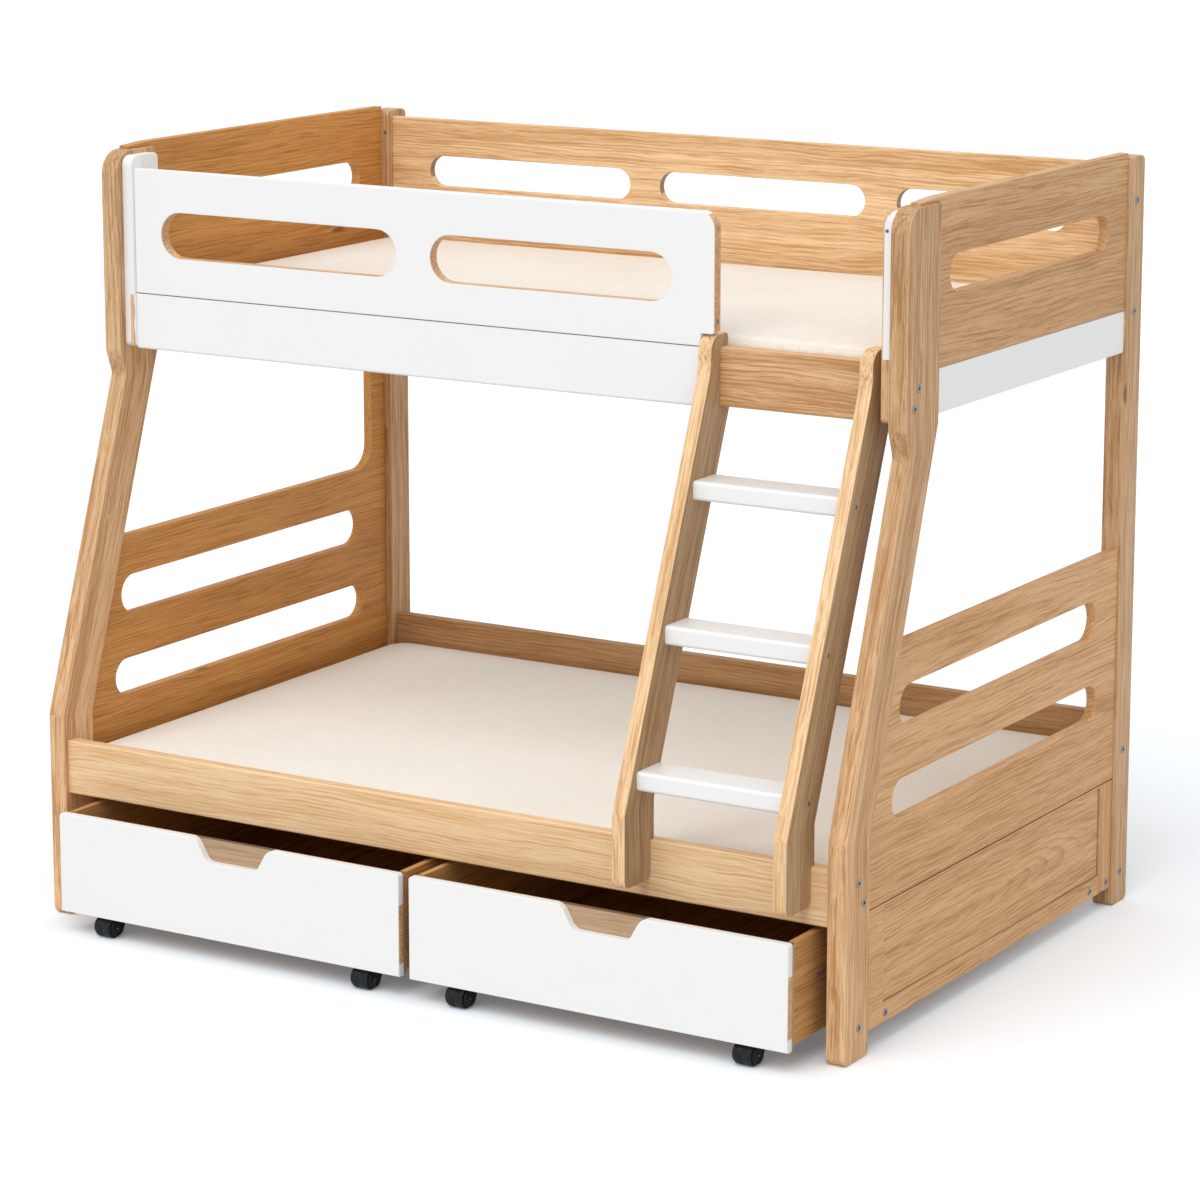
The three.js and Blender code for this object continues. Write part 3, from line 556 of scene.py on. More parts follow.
@cache
def plain_weave() -> Tree:
    """Builds a plain weave with slubs.

    Two thread waves cross: the sine of each direction times the other's. Slubs are noise drawn out along the
    warp and the weft. The threads follow x and y on flat faces, and x + y and z on the sides.

    Returns:
        The group, which puts out a shade from 0 to 1 and a height.
    """
    made = Group("plain_weave", {"Vector": None, "Normal": None, "Thread": 1500.0}, ("Shade", "Height"))
    x, y, z = made.split(made.given("Vector"))
    flat = made.span(made.math("ABSOLUTE", made.split(made.given("Normal"))[2]), 0.60, 0.75)
    on_side = 1.0 - flat
    warp = x * flat + (x + y) * on_side
    weft = y * flat + z * on_side
    slubs = [made.noise(made.join(warp * across, weft * along, layer), 1.0, roughness=0.7)
             for across, along, layer in ((SLUB_LONG, SLUB_WIDE, 0.3), (SLUB_WIDE, SLUB_LONG, 7.7))]
    slub = (slubs[0] + slubs[1]) * 0.5
    pull = (slub - 0.5) * SLUB_PULL
    over, under = (made.math("SINE", thread * made.given("Thread") + pull) for thread in (warp, weft))
    height = over * under * 0.5 + 0.5
    made.give("Shade", height * (1 - SLUB_SHARE) + made.span(slub, 0.40, 0.60) * SLUB_SHARE)
    made.give("Height", height * 0.45 + slub * 0.9)
    return made.tree


# Finishes


class Grain(Enum):
    """The way a board's grain runs, with the axes along, across and through a straight one."""

    ALONG_X = (0, 2, 1)
    ALONG_Y = (1, 2, 0)
    ALONG_Z = (2, 1, 0)
    LEG = "leg"
    LADDER = "ladder"


class Material(Nodes):
    """A material in the making."""

    def __init__(self, name: str) -> None:
        """Starts a material with its shader and the object's own coordinates and directions."""
        self.material = bpy.data.materials.new(name)
        self.material.use_nodes = True
        super().__init__(self.material.node_tree)
        self.shader = self.tree.nodes["Principled BSDF"]
        place = self.node("TexCoord", {}).outputs
        self.coordinates = Signal(self, place["Object"])
        self.normal = Signal(self, place["Normal"])

    def group(self, tree: Tree, **values: object) -> dict[str, Signal]:
        """Places one of the shared groups with the values of its inputs, and returns its outputs."""
        node = self.node("Group", {}, node_tree=tree)
        for label, value in values.items():
            self.put(node.inputs[label], value)
        return {socket.name: Signal(self, socket) for socket in node.outputs}

    def mottle(self, slow: float, fine: float) -> tuple[Signal, Signal]:
        """Places the mottle at its two scales and returns its shift and its height."""
        made = self.group(fine_mottle(), Vector=self.coordinates, Slow=slow, Fine=fine)
        return made["Shift"], made["Height"]

    def finish(self, values: dict[str, object]) -> None:
        """Feeds the shader's inputs."""
        for label, value in values.items():
            self.put(self.shader.inputs[label], value)

    def bump(self, height: Signal, strength: float, distance: float) -> None:
        """Turns a height into the shader's normal, by a strength and by a depth in metres."""
        node = self.node("Bump", {"Strength": strength, "Distance": distance, "Height": height})
        self.finish({"Normal": Signal(self, node.outputs["Normal"])})


@dataclass(frozen=True)
class Board:
    """How one board was sawn and glued.

    The heart and the depth say where the trunk's heart lay, the taper how far the cut ran out of line with it,
    staves how many strips there are to the metre, and arris which axis is the thickness. Side scales the faces
    that look along that axis, as painted shade below 1 and painted light above 1, and tone scales the whole
    board. Rim and top darken its slots' upper rims and ends and its upper edge with painted shade, fade says
    how much lighter it gets to the metre, and seam is (y, z, y, z) of a panel that is set into it, round which
    a painted shadow line is drawn.
    """

    grain: Grain
    seed: float
    middle: Triple = (0.0, 0.0, 0.0)
    heart: float = 0.20
    depth: float = 0.06
    taper: float = 0.02
    staves: float = 0.0
    arris: int = 0
    # painted shade below 1 and painted light above 1, on the faces that look along the thickness axis
    side: float = 1.0
    tone: float = 1.0
    fade: float = 0.0
    # painted shade on slot rims and ends that face neither the thickness axis nor up
    rim: float = 1.0
    # painted shade on the upward faces, the board's upper edge
    top: float = 1.0
    # a painted shadow line is drawn round that panel
    seam: tuple[float, float, float, float] | None = None


@dataclass(frozen=True)
class WoodFinish:
    """Clear satin lacquer over a light wood with a fine grain."""

    light: Triple = (0.826, 0.544, 0.308)
    dark: Triple = (0.480, 0.245, 0.100)
    contrast: float = 1.35
    roughness: float = 0.46
    leg_bend_from: float = 0.470
    leg_bend_to: float = 1.238
    leg_lean: float = 0.260
    ladder_knee: float = 0.498
    ladder_lean: float = 0.3937
    # how dark the painted shadow line round a set-in panel is
    seam_shadow_strength: float = 0.42
    seam_edge: tuple[float, float] = (0.0004, 0.0020)
    specular: float = 0.22
    relief: float = 0.25
    relief_depth: float = 0.0004

    def board_vector(self, made: Material, board: Board) -> Signal:
        """Turns the object's coordinates so that x runs along the grain and counts from the board's middle.

        A leg's and a ladder stile's grain follows its bend: y less a ramp over the leaning stretch.
        """
        place = [part - centre for part, centre in zip(made.split(made.coordinates), board.middle)]
        if board.grain not in (Grain.LEG, Grain.LADDER):
            return made.join(*(place[axis] for axis in board.grain.value))
        x, y, z = place
        if board.grain is Grain.LEG:
            lean = made.span(z, self.leg_bend_from, self.leg_bend_to, 0.0, self.leg_lean)
        else:
            lean = made.math("MAXIMUM", z - self.ladder_knee, 0.0) * self.ladder_lean
        return made.join(z, y - lean, x)

    def grain(self, made: Material, board: Board) -> dict[str, Signal]:
        """Places the grain group for a board, and returns its outputs."""
        directions = made.split(made.normal)
        facing = made.math("ABSOLUTE", directions[board.arris])
        shade = 0.0
        # Painted shade on the slots' upper rims and ends
        if board.rim < 1.0:
            shade = (facing < 0.6) * (directions[2] < 0.4) * (1.0 - board.rim)
        # Painted shadow line round a set-in panel
        if board.seam is not None:
            shade = self.seam_line(made, board.seam) * self.seam_shadow_strength
        # Painted shade on the upward faces
        if board.top < 1.0:
            shade = (directions[2] > 0.5) * (1.0 - board.top)
        light, dark = (opaque(part * board.tone for part in colour) for colour in (self.light, self.dark))
        sawn = {label.capitalize(): getattr(board, label)
                for label in ("seed", "heart", "depth", "taper", "staves", "side", "fade")}
        return made.group(board_grain(), Vector=self.board_vector(made, board), Light=light, Dark=dark,
                          Contrast=self.contrast, Facing=facing, Shade=shade, **sawn)

    def seam_line(self, made: Material, corners: tuple[float, float, float, float]) -> Signal:
        """Returns 1 on the shadow round a panel with corners (y, z, y, z) that is set into a board, else 0.

        The distance from the panel's edge is max(|y - yc| - half width, |z - zc| - half height).
        """
        _, y, z = made.split(made.coordinates)
        away = [made.math("ABSOLUTE", place - (low + high) / 2) - (high - low) / 2
                for place, low, high in ((y, corners[0], corners[2]), (z, corners[1], corners[3]))]
        return made.span(made.math("ABSOLUTE", made.math("MAXIMUM", *away)), *self.seam_edge, 1.0, 0.0)

    def material(self, name: str, board: Board) -> Look:
        """Makes the material of one board under a name."""
        made = Material(name)
        wood = self.grain(made, board)
        made.finish({"Base Color": wood["Color"], "Roughness": wood["Roughness"] + self.roughness,
                     "Specular IOR Level": self.specular})
        made.bump(wood["Height"], self.relief, self.relief_depth)
        return made.material


@dataclass(frozen=True)
class LacquerFinish:
    """White satin lacquer, with bare wood where a board's edges are left natural."""

    white: Triple = (0.915, 0.917, 0.920)
    roughness: float = 0.36
    dimmest: float = 0.975
    slow: float = 5.0
    fine: float = 380.0
    relief: float = 0.06
    relief_depth: float = 0.0003

    def material(self, name: str, wood: WoodFinish | None = None, board: Board | None = None,
                 mask: BareMask | None = None) -> Look:
        """Makes the material of a white board.

        Args:
            name: its name.
            wood: the finish of its bare stretches, if it has any.
            board: how the board was sawn.
            mask: which stretches are bare.
        """
        made = Material(name)
        shift, height = made.mottle(self.slow, self.fine)
        lower = opaque(c * self.dimmest for c in self.white)
        paint = made.blend(made.math("ADD", shift, 0.5, clamp=True), lower, opaque(self.white))
        rough = shift * 0.10 + self.roughness
        if wood is not None:
            share = mask.signal(made)
            paint = made.blend(share, paint, wood.grain(made, board)["Color"])
            rough = rough + share * 0.08
        made.finish({"Base Color": paint, "Roughness": rough})
        made.bump(height, self.relief, self.relief_depth)
        return made.material


class BareMask(Enum):
    """Which stretches of a white board are bare wood."""

    GUARD = "slots and right end"
    RIGHT_CHEEK = "inner edge and foot"
    DRAWER_FRONT = "lower part of the right end"

    def signal(self, made: Material) -> Signal:
        """Returns 1 where the wood is bare, by the place and the direction of the surface, and 0 elsewhere."""
        x, _, z = made.split(made.coordinates)
        across, facing, up = made.split(made.normal)
        if self is BareMask.GUARD:
            slots_from, slots_to, end_from = 1.500, 1.640, 1.462
            edge = made.math("ABSOLUTE", facing) < 0.55
            slots = (z > slots_from) * (z < slots_to)
            return edge * made.math("MAXIMUM", slots, (across > 0.5) * (z > end_from))
        if self is BareMask.DRAWER_FRONT:
            band_from, band_to = 0.078, 0.212
            return (across > 0.75) * ((z > band_from) * (z < band_to))
        inner_edge, rounding, foot = 2.012, 0.012, 1.440
        inner = x - made.math("MAXIMUM", up, 0.0) * rounding < inner_edge - LAYOUT_ORIGIN[0]
        return made.math("MAXIMUM", inner, z < foot)


@dataclass(frozen=True)
class ClothFinish:
    """A cream woven cover."""

    light: Triple = (0.955, 0.900, 0.825)
    dark: Triple = (0.730, 0.630, 0.510)
    thread: float = 1150.0
    roughness: float = 0.85
    sheen: float = 0.25
    sheen_roughness: float = 0.5
    specular: float = 0.2
    weave_share: float = 0.46
    mottle_share: float = 0.60
    slow: float = 2.5
    fine: float = 240.0
    relief: float = 0.4
    relief_depth: float = 0.0015

    def material(self, name: str) -> Look:
        """Makes the cover's material under a name."""
        made = Material(name)
        weave = made.group(plain_weave(), Vector=made.coordinates, Normal=made.normal, Thread=self.thread)
        shift, _ = made.mottle(self.slow, self.fine)
        shade = made.math("ADD", weave["Shade"] * self.weave_share, shift * self.mottle_share, clamp=True)
        made.finish({"Base Color": made.blend(shade, opaque(self.light), opaque(self.dark)),
                     "Roughness": shade * 0.1 + self.roughness, "Sheen Weight": self.sheen,
                     "Sheen Roughness": self.sheen_roughness, "Specular IOR Level": self.specular})
        made.bump(weave["Height"], self.relief, self.relief_depth)
        return made.material


@dataclass(frozen=True)
class HardFinish:
    """Plastic or metal, whose second shade has the share shift * swing + middle of the mottle."""

    first: Triple
    second: Triple
    roughness: float
    slow: float
    fine: float
    swing: float
    middle: float
    relief: float
    relief_depth: float
    specular: float = 0.5
    metallic: float = 0.0

    def material(self, name: str) -> Look:
        """Makes the material under a name."""
        made = Material(name)
        shift, height = made.mottle(self.slow, self.fine)
        share = made.math("ADD", shift * self.swing, self.middle, clamp=True)
        made.finish({"Base Color": made.blend(share, opaque(self.first), opaque(self.second)),
                     "Roughness": share * 0.2 + self.roughness, "Specular IOR Level": self.specular,
                     "Metallic": self.metallic})
        made.bump(height, self.relief, self.relief_depth)
        return made.material


PLASTIC = HardFinish((0.006, 0.006, 0.007), (0.016, 0.016, 0.017), 0.44, slow=60.0, fine=1600.0, swing=0.9,
                     middle=0.3, relief=0.12, relief_depth=0.0002, specular=0.22)
STEEL = HardFinish((0.36, 0.37, 0.37), (0.17, 0.175, 0.18), 0.34, slow=240.0, fine=2600.0, swing=1.4,
                   middle=0.5, relief=0.1, relief_depth=0.0001, metallic=0.7)
# The bolt sockets' floors are painted near-black: painted shade in the hex recess
SOCKET_SHADE = replace(STEEL, first=(0.035, 0.036, 0.038), second=(0.012, 0.012, 0.013), roughness=0.6)


# The boards of the CAD frame


class SoftEdges:
    """Shades the CAD boards' eased edges smoothly and leaves their sharp edges sharp."""

    SHARP_ANGLE = math.radians(38)
    MERGE_DISTANCE = 1e-5

    def __init__(self) -> None:
        """Builds the geometry nodes: they merge loose corners, shade all smooth and mark the sharp edges."""
        self.tree = tree = bpy.data.node_groups.new("soft_edges", "GeometryNodeTree")
        for way in ("INPUT", "OUTPUT"):
            tree.interface.new_socket("Geometry", in_out=way, socket_type="NodeSocketGeometry")
        chain = [tree.nodes.new(kind) for kind in (
            "NodeGroupInput", "GeometryNodeRemoveAttribute", "GeometryNodeMergeByDistance",
            "GeometryNodeSetShadeSmooth", "GeometryNodeSetShadeSmooth", "NodeGroupOutput")]
        for node, after in zip(chain, chain[1:]):
            tree.links.new(node.outputs[0], after.inputs[0])
        _, drop, merge, faces, edges, _ = chain
        drop.inputs["Name"].default_value = "custom_normal"
        merge.inputs["Distance"].default_value = self.MERGE_DISTANCE
        faces.domain = "FACE"
        edges.domain = "EDGE"
        edges.inputs["Shade Smooth"].default_value = False
        angle = tree.nodes.new("GeometryNodeInputMeshEdgeAngle")
        over = tree.nodes.new("FunctionNodeCompare")
        over.data_type = "FLOAT"
        over.operation = "GREATER_THAN"
        over.inputs["B"].default_value = self.SHARP_ANGLE
        tree.links.new(angle.outputs["Unsigned Angle"], over.inputs["A"])
        tree.links.new(over.outputs[0], edges.inputs["Selection"])

    def apply(self, board: Piece) -> None:
        """Puts the shading on a CAD node's object as live modifiers."""
        board.modifiers.new("soft_edges", "NODES").node_group = self.tree
        board.modifiers.new("even_normals", "WEIGHTED_NORMAL").keep_sharp = True


@dataclass
class Boards:
    """Every rigid board of the bed, with the finish that it gets."""

    nodes: dict[str, Piece]
    pale: WoodFinish = WoodFinish((0.955, 0.710, 0.442), (0.740, 0.420, 0.185), 1.1)
    warm: WoodFinish = WoodFinish((0.938, 0.658, 0.388), (0.600, 0.325, 0.135))
    honey: WoodFinish = WoodFinish()
    amber: WoodFinish = WoodFinish((0.800, 0.492, 0.245), (0.510, 0.250, 0.095), 1.15)
    russet: WoodFinish = WoodFinish((0.690, 0.335, 0.095), (0.410, 0.165, 0.040), 1.05)
    box_wood: WoodFinish = WoodFinish((0.630, 0.345, 0.130), (0.350, 0.160, 0.048), 1.0, 0.55)
    umber: WoodFinish = WoodFinish((0.560, 0.385, 0.240), (0.360, 0.225, 0.130), 1.0, 0.55)
    slat_wood: WoodFinish = WoodFinish((0.740, 0.560, 0.360), (0.520, 0.340, 0.170), 1.0, 0.6)
    white: LacquerFinish = LacquerFinish()
    all_white: tuple[str, ...] = ("upper_end_rail_left", "upper_end_rail_right", "cheek_board_left",
                                  "upper_front_fascia", "ladder_tread_1", "ladder_tread_2", "ladder_tread_3")
    dressed: list[str] = field(default_factory=list)
    leg_middle: float = 0.055
    heart_away: float = 0.20
    panel_inset: tuple[float, float, float, float] = (0.078, 0.046, -0.005, -0.005)

    def dress(self, plastic: Look) -> None:
        """Gives every board its material, every castor fork the plastic, and all of them their soft edges."""
        self._oak_boards()
        self._white_boards()
        self._drawer_boards()
        for number, deck in enumerate(("lower_slat_deck", "upper_slat_deck")):
            self._dress_wood(deck, self.slat_wood, Grain.ALONG_Y, 40.0 + number, arris=2)
        for name in self.nodes:
            if name.endswith("_fork"):
                self._set(name, plastic)
        edges = SoftEdges()
        for name in self.dressed:
            edges.apply(self.nodes[name])
        LOG.info("boards and forks: %d dressed", len(self.dressed))

    def _set(self, name: str, material: Look) -> None:
        """Puts a material on the CAD node of that name."""
        slots = self.nodes[name].material_slots
        for slot in slots:
            slot.material = material
        if not slots:
            self.nodes[name].data.materials.append(material)
        self.dressed.append(name)

    def board(self, name: str, grain: Grain, seed: float, **sawn: float) -> Board:
        """Says how a node's board was sawn, with its heart to one side or the other by its seed."""
        low, high = box_of(name)
        middle = (low + high) / 2
        if grain in (Grain.LEG, Grain.LADDER):
            middle = np.array([middle[0], low[1] + self.leg_middle, 0.0])
        sawn.setdefault("heart", math.copysign(self.heart_away, math.sin(seed * 2.3)))
        return Board(grain, seed, tuple(map(float, middle)), **sawn)

    def _dress_wood(self, name: str, finish: WoodFinish, grain: Grain, seed: float, **sawn: float) -> None:
        """Dresses one board of bare or clear-lacquered wood, with the values that board() takes."""
        self._set(name, finish.material(f"wood_{name}", self.board(name, grain, seed, **sawn)))

    def _oak_boards(self) -> None:
        """Dresses the boards of clear-lacquered wood, each from its own stretch of wood."""
        wood = self._dress_wood
        wood("upper_front_rail", self.honey, Grain.ALONG_X, 1.6, arris=1, tone=1.06)
        wood("lower_front_rail", self.pale, Grain.ALONG_X, 3.2, arris=1)
        # rim=0.45 paints shade on the back panel's slot rims and ends
        wood("upper_back_panel", self.warm, Grain.ALONG_X, 4.9, arris=1, staves=5.6, rim=0.45)
        wood("upper_back_rail", self.honey, Grain.ALONG_X, 6.5, arris=1)
        wood("lower_back_rail", self.amber, Grain.ALONG_X, 8.1, arris=1, tone=0.8)
        for side, panel, tone, seed in (("left", self.russet, 1.0, 9.7), ("right", self.amber, 0.90, 21.0)):
            wood(f"upper_end_panel_{side}", panel, Grain.ALONG_Y, seed, staves=5.4, tone=tone)
            wood(f"lower_end_panel_{side}", panel, Grain.ALONG_Y, seed + 1.6, staves=5.1)
            wood(f"post_back_{side}", self.honey, Grain.ALONG_Z, seed + 3.2, tone=0.86)
            wood(f"kick_cleat_{side}", self.amber, Grain.ALONG_Z, seed + 4.9)
            # Painted light on the legs' sides (side=1.03) and painted shade on the ladder stiles' sides
            # (side=0.57)
            wood(f"leg_front_{side}", self.honey, Grain.LEG, seed + 6.5, side=1.03, tone=1.12, fade=-0.15)
            wood(f"ladder_stile_{side}", self.warm, Grain.LADDER, seed + 8.1, side=0.57, tone=1.02)
            # The kick board's set-in panel gets a painted shadow line round it
            low, high = box_of(f"kick_board_{side}")
            inset = tuple(float(v) for v in np.array([*low[1:], *high[1:]]) + self.panel_inset)
            wood(f"kick_board_{side}", self.amber, Grain.ALONG_Y, seed + 9.7, heart=0.01, depth=0.022,
                 taper=0.10, seam=inset)

    def _white_boards(self) -> None:
        """Dresses the boards in white lacquer, four of them with bare stretches."""
        white = self.white.material("white_lacquer")
        for name in self.all_white:
            self._set(name, white)
        masks = (("guard_rail", Grain.ALONG_X, 1, BareMask.GUARD),
                 ("cheek_board_right", Grain.ALONG_Z, 0, BareMask.RIGHT_CHEEK),
                 ("drawer_left_front", Grain.ALONG_X, 1, BareMask.DRAWER_FRONT),
                 ("drawer_right_front", Grain.ALONG_X, 1, BareMask.DRAWER_FRONT))
        for number, (name, grain, arris, mask) in enumerate(masks):
            board = self.board(name, grain, 3.3 + number, arris=arris)
            self._set(name, self.white.material(f"white_{name}", self.honey, board, mask))

    def _drawer_boards(self) -> None:
        """Dresses the drawers' boxes."""
        pieces = (("inner_front", Grain.ALONG_X, 1), ("back", Grain.ALONG_X, 1),
                  ("side_left", Grain.ALONG_Y, 0), ("side_right", Grain.ALONG_Y, 0),
                  ("floor", Grain.ALONG_Y, 2))
        for number, side in enumerate(SIDES):
            for offset, (piece, grain, arris) in enumerate(pieces):
                # The inner fronts' upper edges get painted shade (top=0.35), as they lie in the drawer's shade
                finish, top = (self.umber, 0.35) if piece == "inner_front" else (self.box_wood, 1.0)
                self._dress_wood(f"drawer_{side}_{piece}", finish, grain, 11.0 + 5 * number + offset * 0.77,
                                 arris=arris, top=top)


# Soft pieces


@dataclass
class MattressPad:
    """A flat mattress pad in a woven cover, in the space of its CAD solid."""

    node: str
    height: float
    corner: float = 0.060
    edge: float = 0.022
    under_share: float = 0.4
    crown: float = 0.005
    ripple: float = 0.0011
    room: float = 0.004
    margin: float = 0.0004
    voxel: float = 0.0155
    frames: int = 20
    reach: float = 0.0055
    top_rings: int = 25

    def outline(self, half: np.ndarray, inset: np.ndarray, turns: int, sides: int) -> np.ndarray:
        """Gives rounded rectangles at several insets: four arcs, whose radius shrinks, and straight sides.

        Args:
            half: the half length and half width.
            inset: how far each ring lies in from the edge.
            turns: points on a corner.
            sides: points between two corners.
        """
        angle = np.linspace(0, np.pi / 2, turns) + np.arange(4)[:, None] * np.pi / 2
        signs = np.array([[1, 1], [-1, 1], [-1, -1], [1, -1]])
        radius = np.maximum(self.corner - inset, 0.0)[:, None, None, None]
        centre = half - self.corner - np.maximum(inset - self.corner, 0.0)[:, None]
        arcs = joined(np.cos(angle), np.sin(angle)) * radius + (signs * centre[:, None])[:, :, None]
        share = np.linspace(0, 1, sides + 2)[1:-1][:, None]
        straight = arcs[:, :, -1:] * (1 - share) + np.roll(arcs, -1, axis=1)[:, :, :1] * share
        return np.concatenate([arcs, straight], axis=2).reshape(len(inset), -1, 2)

    def profile(self) -> np.ndarray:
        """Gives the pad's edge from below as (inset, height): a quarter round, a straight and a larger one."""
        base = self.edge * self.under_share
        sine, cosine = quarter_round(5)
        under = joined(base * (1 - sine), base * (1 - cosine))
        up = np.linspace(0, 1, 8)[1:-1]
        side = joined(0.0, base + (self.height - self.edge - base) * up)
        sine, cosine = quarter_round(9)
        over = joined(self.edge * (1 - cosine), self.height - self.edge + self.edge * sine)
        return np.concatenate([under, side, over])

    def shell(self, half: np.ndarray) -> np.ndarray:
        """Gives the whole closed surface about the middle of its base, as (rings, points, 3).

        The wall follows the profile, and the top and the base run in straight lines from it to a spine along
        the pad's length. The top rises by a crown and by slow waves.
        """
        section = self.profile()
        ring = self.outline(half, section[:, 0], turns=9, sides=40)
        wall = joined(ring[..., 0], ring[..., 1], section[:, 1:])
        depth = np.linspace(0, 1, self.top_rings + 1)[1:]
        start = wall[-1]
        spine_end = half[0] - half[1]
        spine = joined(np.clip(start[:, 0], -spine_end, spine_end), 0.0, self.height)
        top = start[None] * (1 - depth[:, None, None]) + spine[None] * depth[:, None, None]
        rise = 1 - (1 - depth[:, None]) ** 2.4
        wave = (np.sin(top[..., 0] * 3.1 + 0.7) * np.cos(top[..., 1] * 4.3 + 0.3)
                + 0.5 * np.sin(top[..., 0] * 7.3 + top[..., 1] * 5.1))
        top[..., 2] += rise * (self.crown + self.ripple * wave)
        inward = np.linspace(0, 1, 4)[:3, None, None]
        base = spine[None] * np.array([1.0, 1.0, 0.0]) * (1 - inward) + wall[0][None] * inward
        return np.concatenate([base, wall, top])

    def swollen(self, piece: Piece, low: np.ndarray, high: np.ndarray) -> None:
        """Lets the filling push the cover out, as cloth under a light pressure without gravity.

        A voxel remesh makes the mesh even, and each point keeps its motion up to the reach.

        Args:
            piece: the pad, whose mesh is replaced by the swollen one.
            low: the lowest corner of its room.
            high: the highest corner of its room.
        """
        even = piece.modifiers.new("even", "REMESH")
        even.mode = "VOXEL"
        even.voxel_size = self.voxel
        baked(piece)
        start = vertices_of(piece.data)
        cloth = piece.modifiers.new("cover", "CLOTH")
        values = {"quality": 4, "mass": 0.25, "tension_stiffness": 12.0, "compression_stiffness": 12.0,
                  "bending_stiffness": 0.4, "use_pressure": True, "uniform_pressure_force": 4.0}
        for label, value in values.items():
            setattr(cloth.settings, label, value)
        cloth.settings.effector_weights.gravity = 0.0
        cloth.collision_settings.use_collision = False
        cloth.point_cache.frame_start = 1
        cloth.point_cache.frame_end = self.frames
        scene = bpy.context.scene
        for frame in range(1, self.frames + 1):
            scene.frame_set(frame)
        baked(piece)
        scene.frame_set(1)
        moved = vertices_of(piece.data) - start
        length = np.linalg.norm(moved, axis=1, keepdims=True)
        kept = start + moved * np.minimum(1.0, self.reach / np.maximum(length, 1e-9))
        piece.data.vertices.foreach_set("co", np.clip(kept, low, high).astype(np.float32).ravel())
        LOG.info("%s: swelled by up to %.1f mm", piece.name, 1000 * float(length.max()))

    def build(self, material: Look) -> None:
        """Builds the pad in its cover, as one closed surface that rides on the frame."""
        low, high = box_of(self.node)
        rings = self.shell((high - low)[:2] / 2 - self.room)
        rings += np.array([*((low + high) / 2)[:2], low[2] + self.margin])
        piece = mesh_piece(f"{self.node}_cover", rings, grid_faces(rings.shape[0], rings.shape[1]))
        self.swollen(piece, low + self.margin, high - self.margin)
        smooth = piece.modifiers.new("smooth", "SUBSURF")
        smooth.levels = smooth.render_levels = 1
        piece.data.polygons.foreach_set("use_smooth", np.ones(len(piece.data.polygons), dtype=bool))
        settle(piece, material, FRAME_BODY)
        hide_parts(self.node)
        LOG.info("%s: %d faces", piece.name, len(piece.data.polygons))


# Castors


@dataclass
class CastorWheels:
    """The drawers' castor wheels: a tread with rounded shoulders, a sunk disc and a hub on each face."""

    radius: float = 0.024
    width: float = 0.042
    bore: float = 0.0043
    hub: float = 0.0068
    rim_width: float = 0.0050
    shoulder: float = 0.0032
    segments: int = 56

    def profile(self) -> np.ndarray:
        """Gives the wheel's closed section as (radius, height), from the bore out over one face and back."""
        half = self.width / 2
        hub, rim, shoulder = self.hub, self.radius - self.rim_width, self.shoulder
        sine, cosine = quarter_round(6)
        corner = joined(self.radius - shoulder + shoulder * sine, -half + shoulder - shoulder * cosine)
        face = np.array([[self.bore, 0.0006], [hub - 0.0008, 0.0006], [hub, 0.0012], [hub + 0.0007, 0.0012],
                         [rim - 0.0009, 0.0012], [rim, 0.0004], [rim + 0.0006, 0.0]]) - [0.0, half]
        near = np.concatenate([face, corner])
        ridge = np.array([[0.0, -0.0012], [-0.0005, -0.0006], [-0.0005, 0.0006], [0.0, 0.0012]])
        return np.concatenate([near, ridge + [self.radius, 0.0], near[::-1] * np.array([1, -1]), near[:1]])

    def build(self, nodes: list[str], material: Look) -> None:
        """Builds one wheel of a material for each CAD wheel."""
        points, faces = revolved(self.profile(), self.segments)
        for node in nodes:
            piece = mesh_piece(f"{node}_tyre", points + sum(box_of(node)) / 2, faces)
            settle(piece, material, node, TYRE_CREASE)
            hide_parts(node)
        LOG.info("castor wheels: %d", len(nodes))


@dataclass
class CastorCaps:
    """The turned caps on the outside of each castor's fork: a rim line, a shallow disc and a small hub."""

    radius: float = 0.0182
    outer: float = 0.0255
    line: float = 0.0008
    pin_radius: float = 0.0019

    def cap(self) -> np.ndarray:
        """Gives the cap's section as (radius, height): a half round line, a lower disc and a domed hub."""
        turn = np.linspace(0, np.pi, 7)
        line = joined(self.radius - self.line + self.line * np.cos(turn), 0.0009 * np.sin(turn))
        disc = np.array([[self.radius - 0.0020, 0.0002], [0.0062, 0.0004], [0.0054, 0.0010]])
        hub = dome(0.0042, 0.0010, 0.0009, 5)
        return np.concatenate([[[0.0, -0.0002], [self.radius, -0.0002]], line, disc, hub])

    def pin(self) -> np.ndarray:
        """Gives the section of the axle's domed end as (radius, height)."""
        end = dome(self.pin_radius, 0.0020, 0.0005, 5)
        return np.concatenate([[[0.0, 0.0012], [self.pin_radius, 0.0012]], end])

    def build(self, nodes: list[str], plastic: Look, steel: Look) -> None:
        """Builds the plastic caps of each drawer's castors as one piece, and their steel pins as another."""
        cap, pin = revolved(self.cap(), 48), revolved(self.pin(), 16)
        for side in SIDES:
            body = f"drawer_{side}"
            middles = np.array([sum(box_of(node)) / 2 for node in nodes if node.startswith(body)])
            flips = np.repeat([1.0, -1.0], len(middles))
            places = np.concatenate([middles, middles]) + flips[:, None] * np.array([self.outer, 0.0, 0.0])
            for label, form, material, slot in (("castor_caps", cap, plastic, "black_plastic"),
                                                ("castor_pins", pin, steel, "steel")):
                piece = mesh_piece(f"{body}_{label}", *repeated(form, places, flips))
                settle(piece, material, body, CREASE)
        LOG.info("castor caps: %d", 2 * len(nodes))


# Fasteners


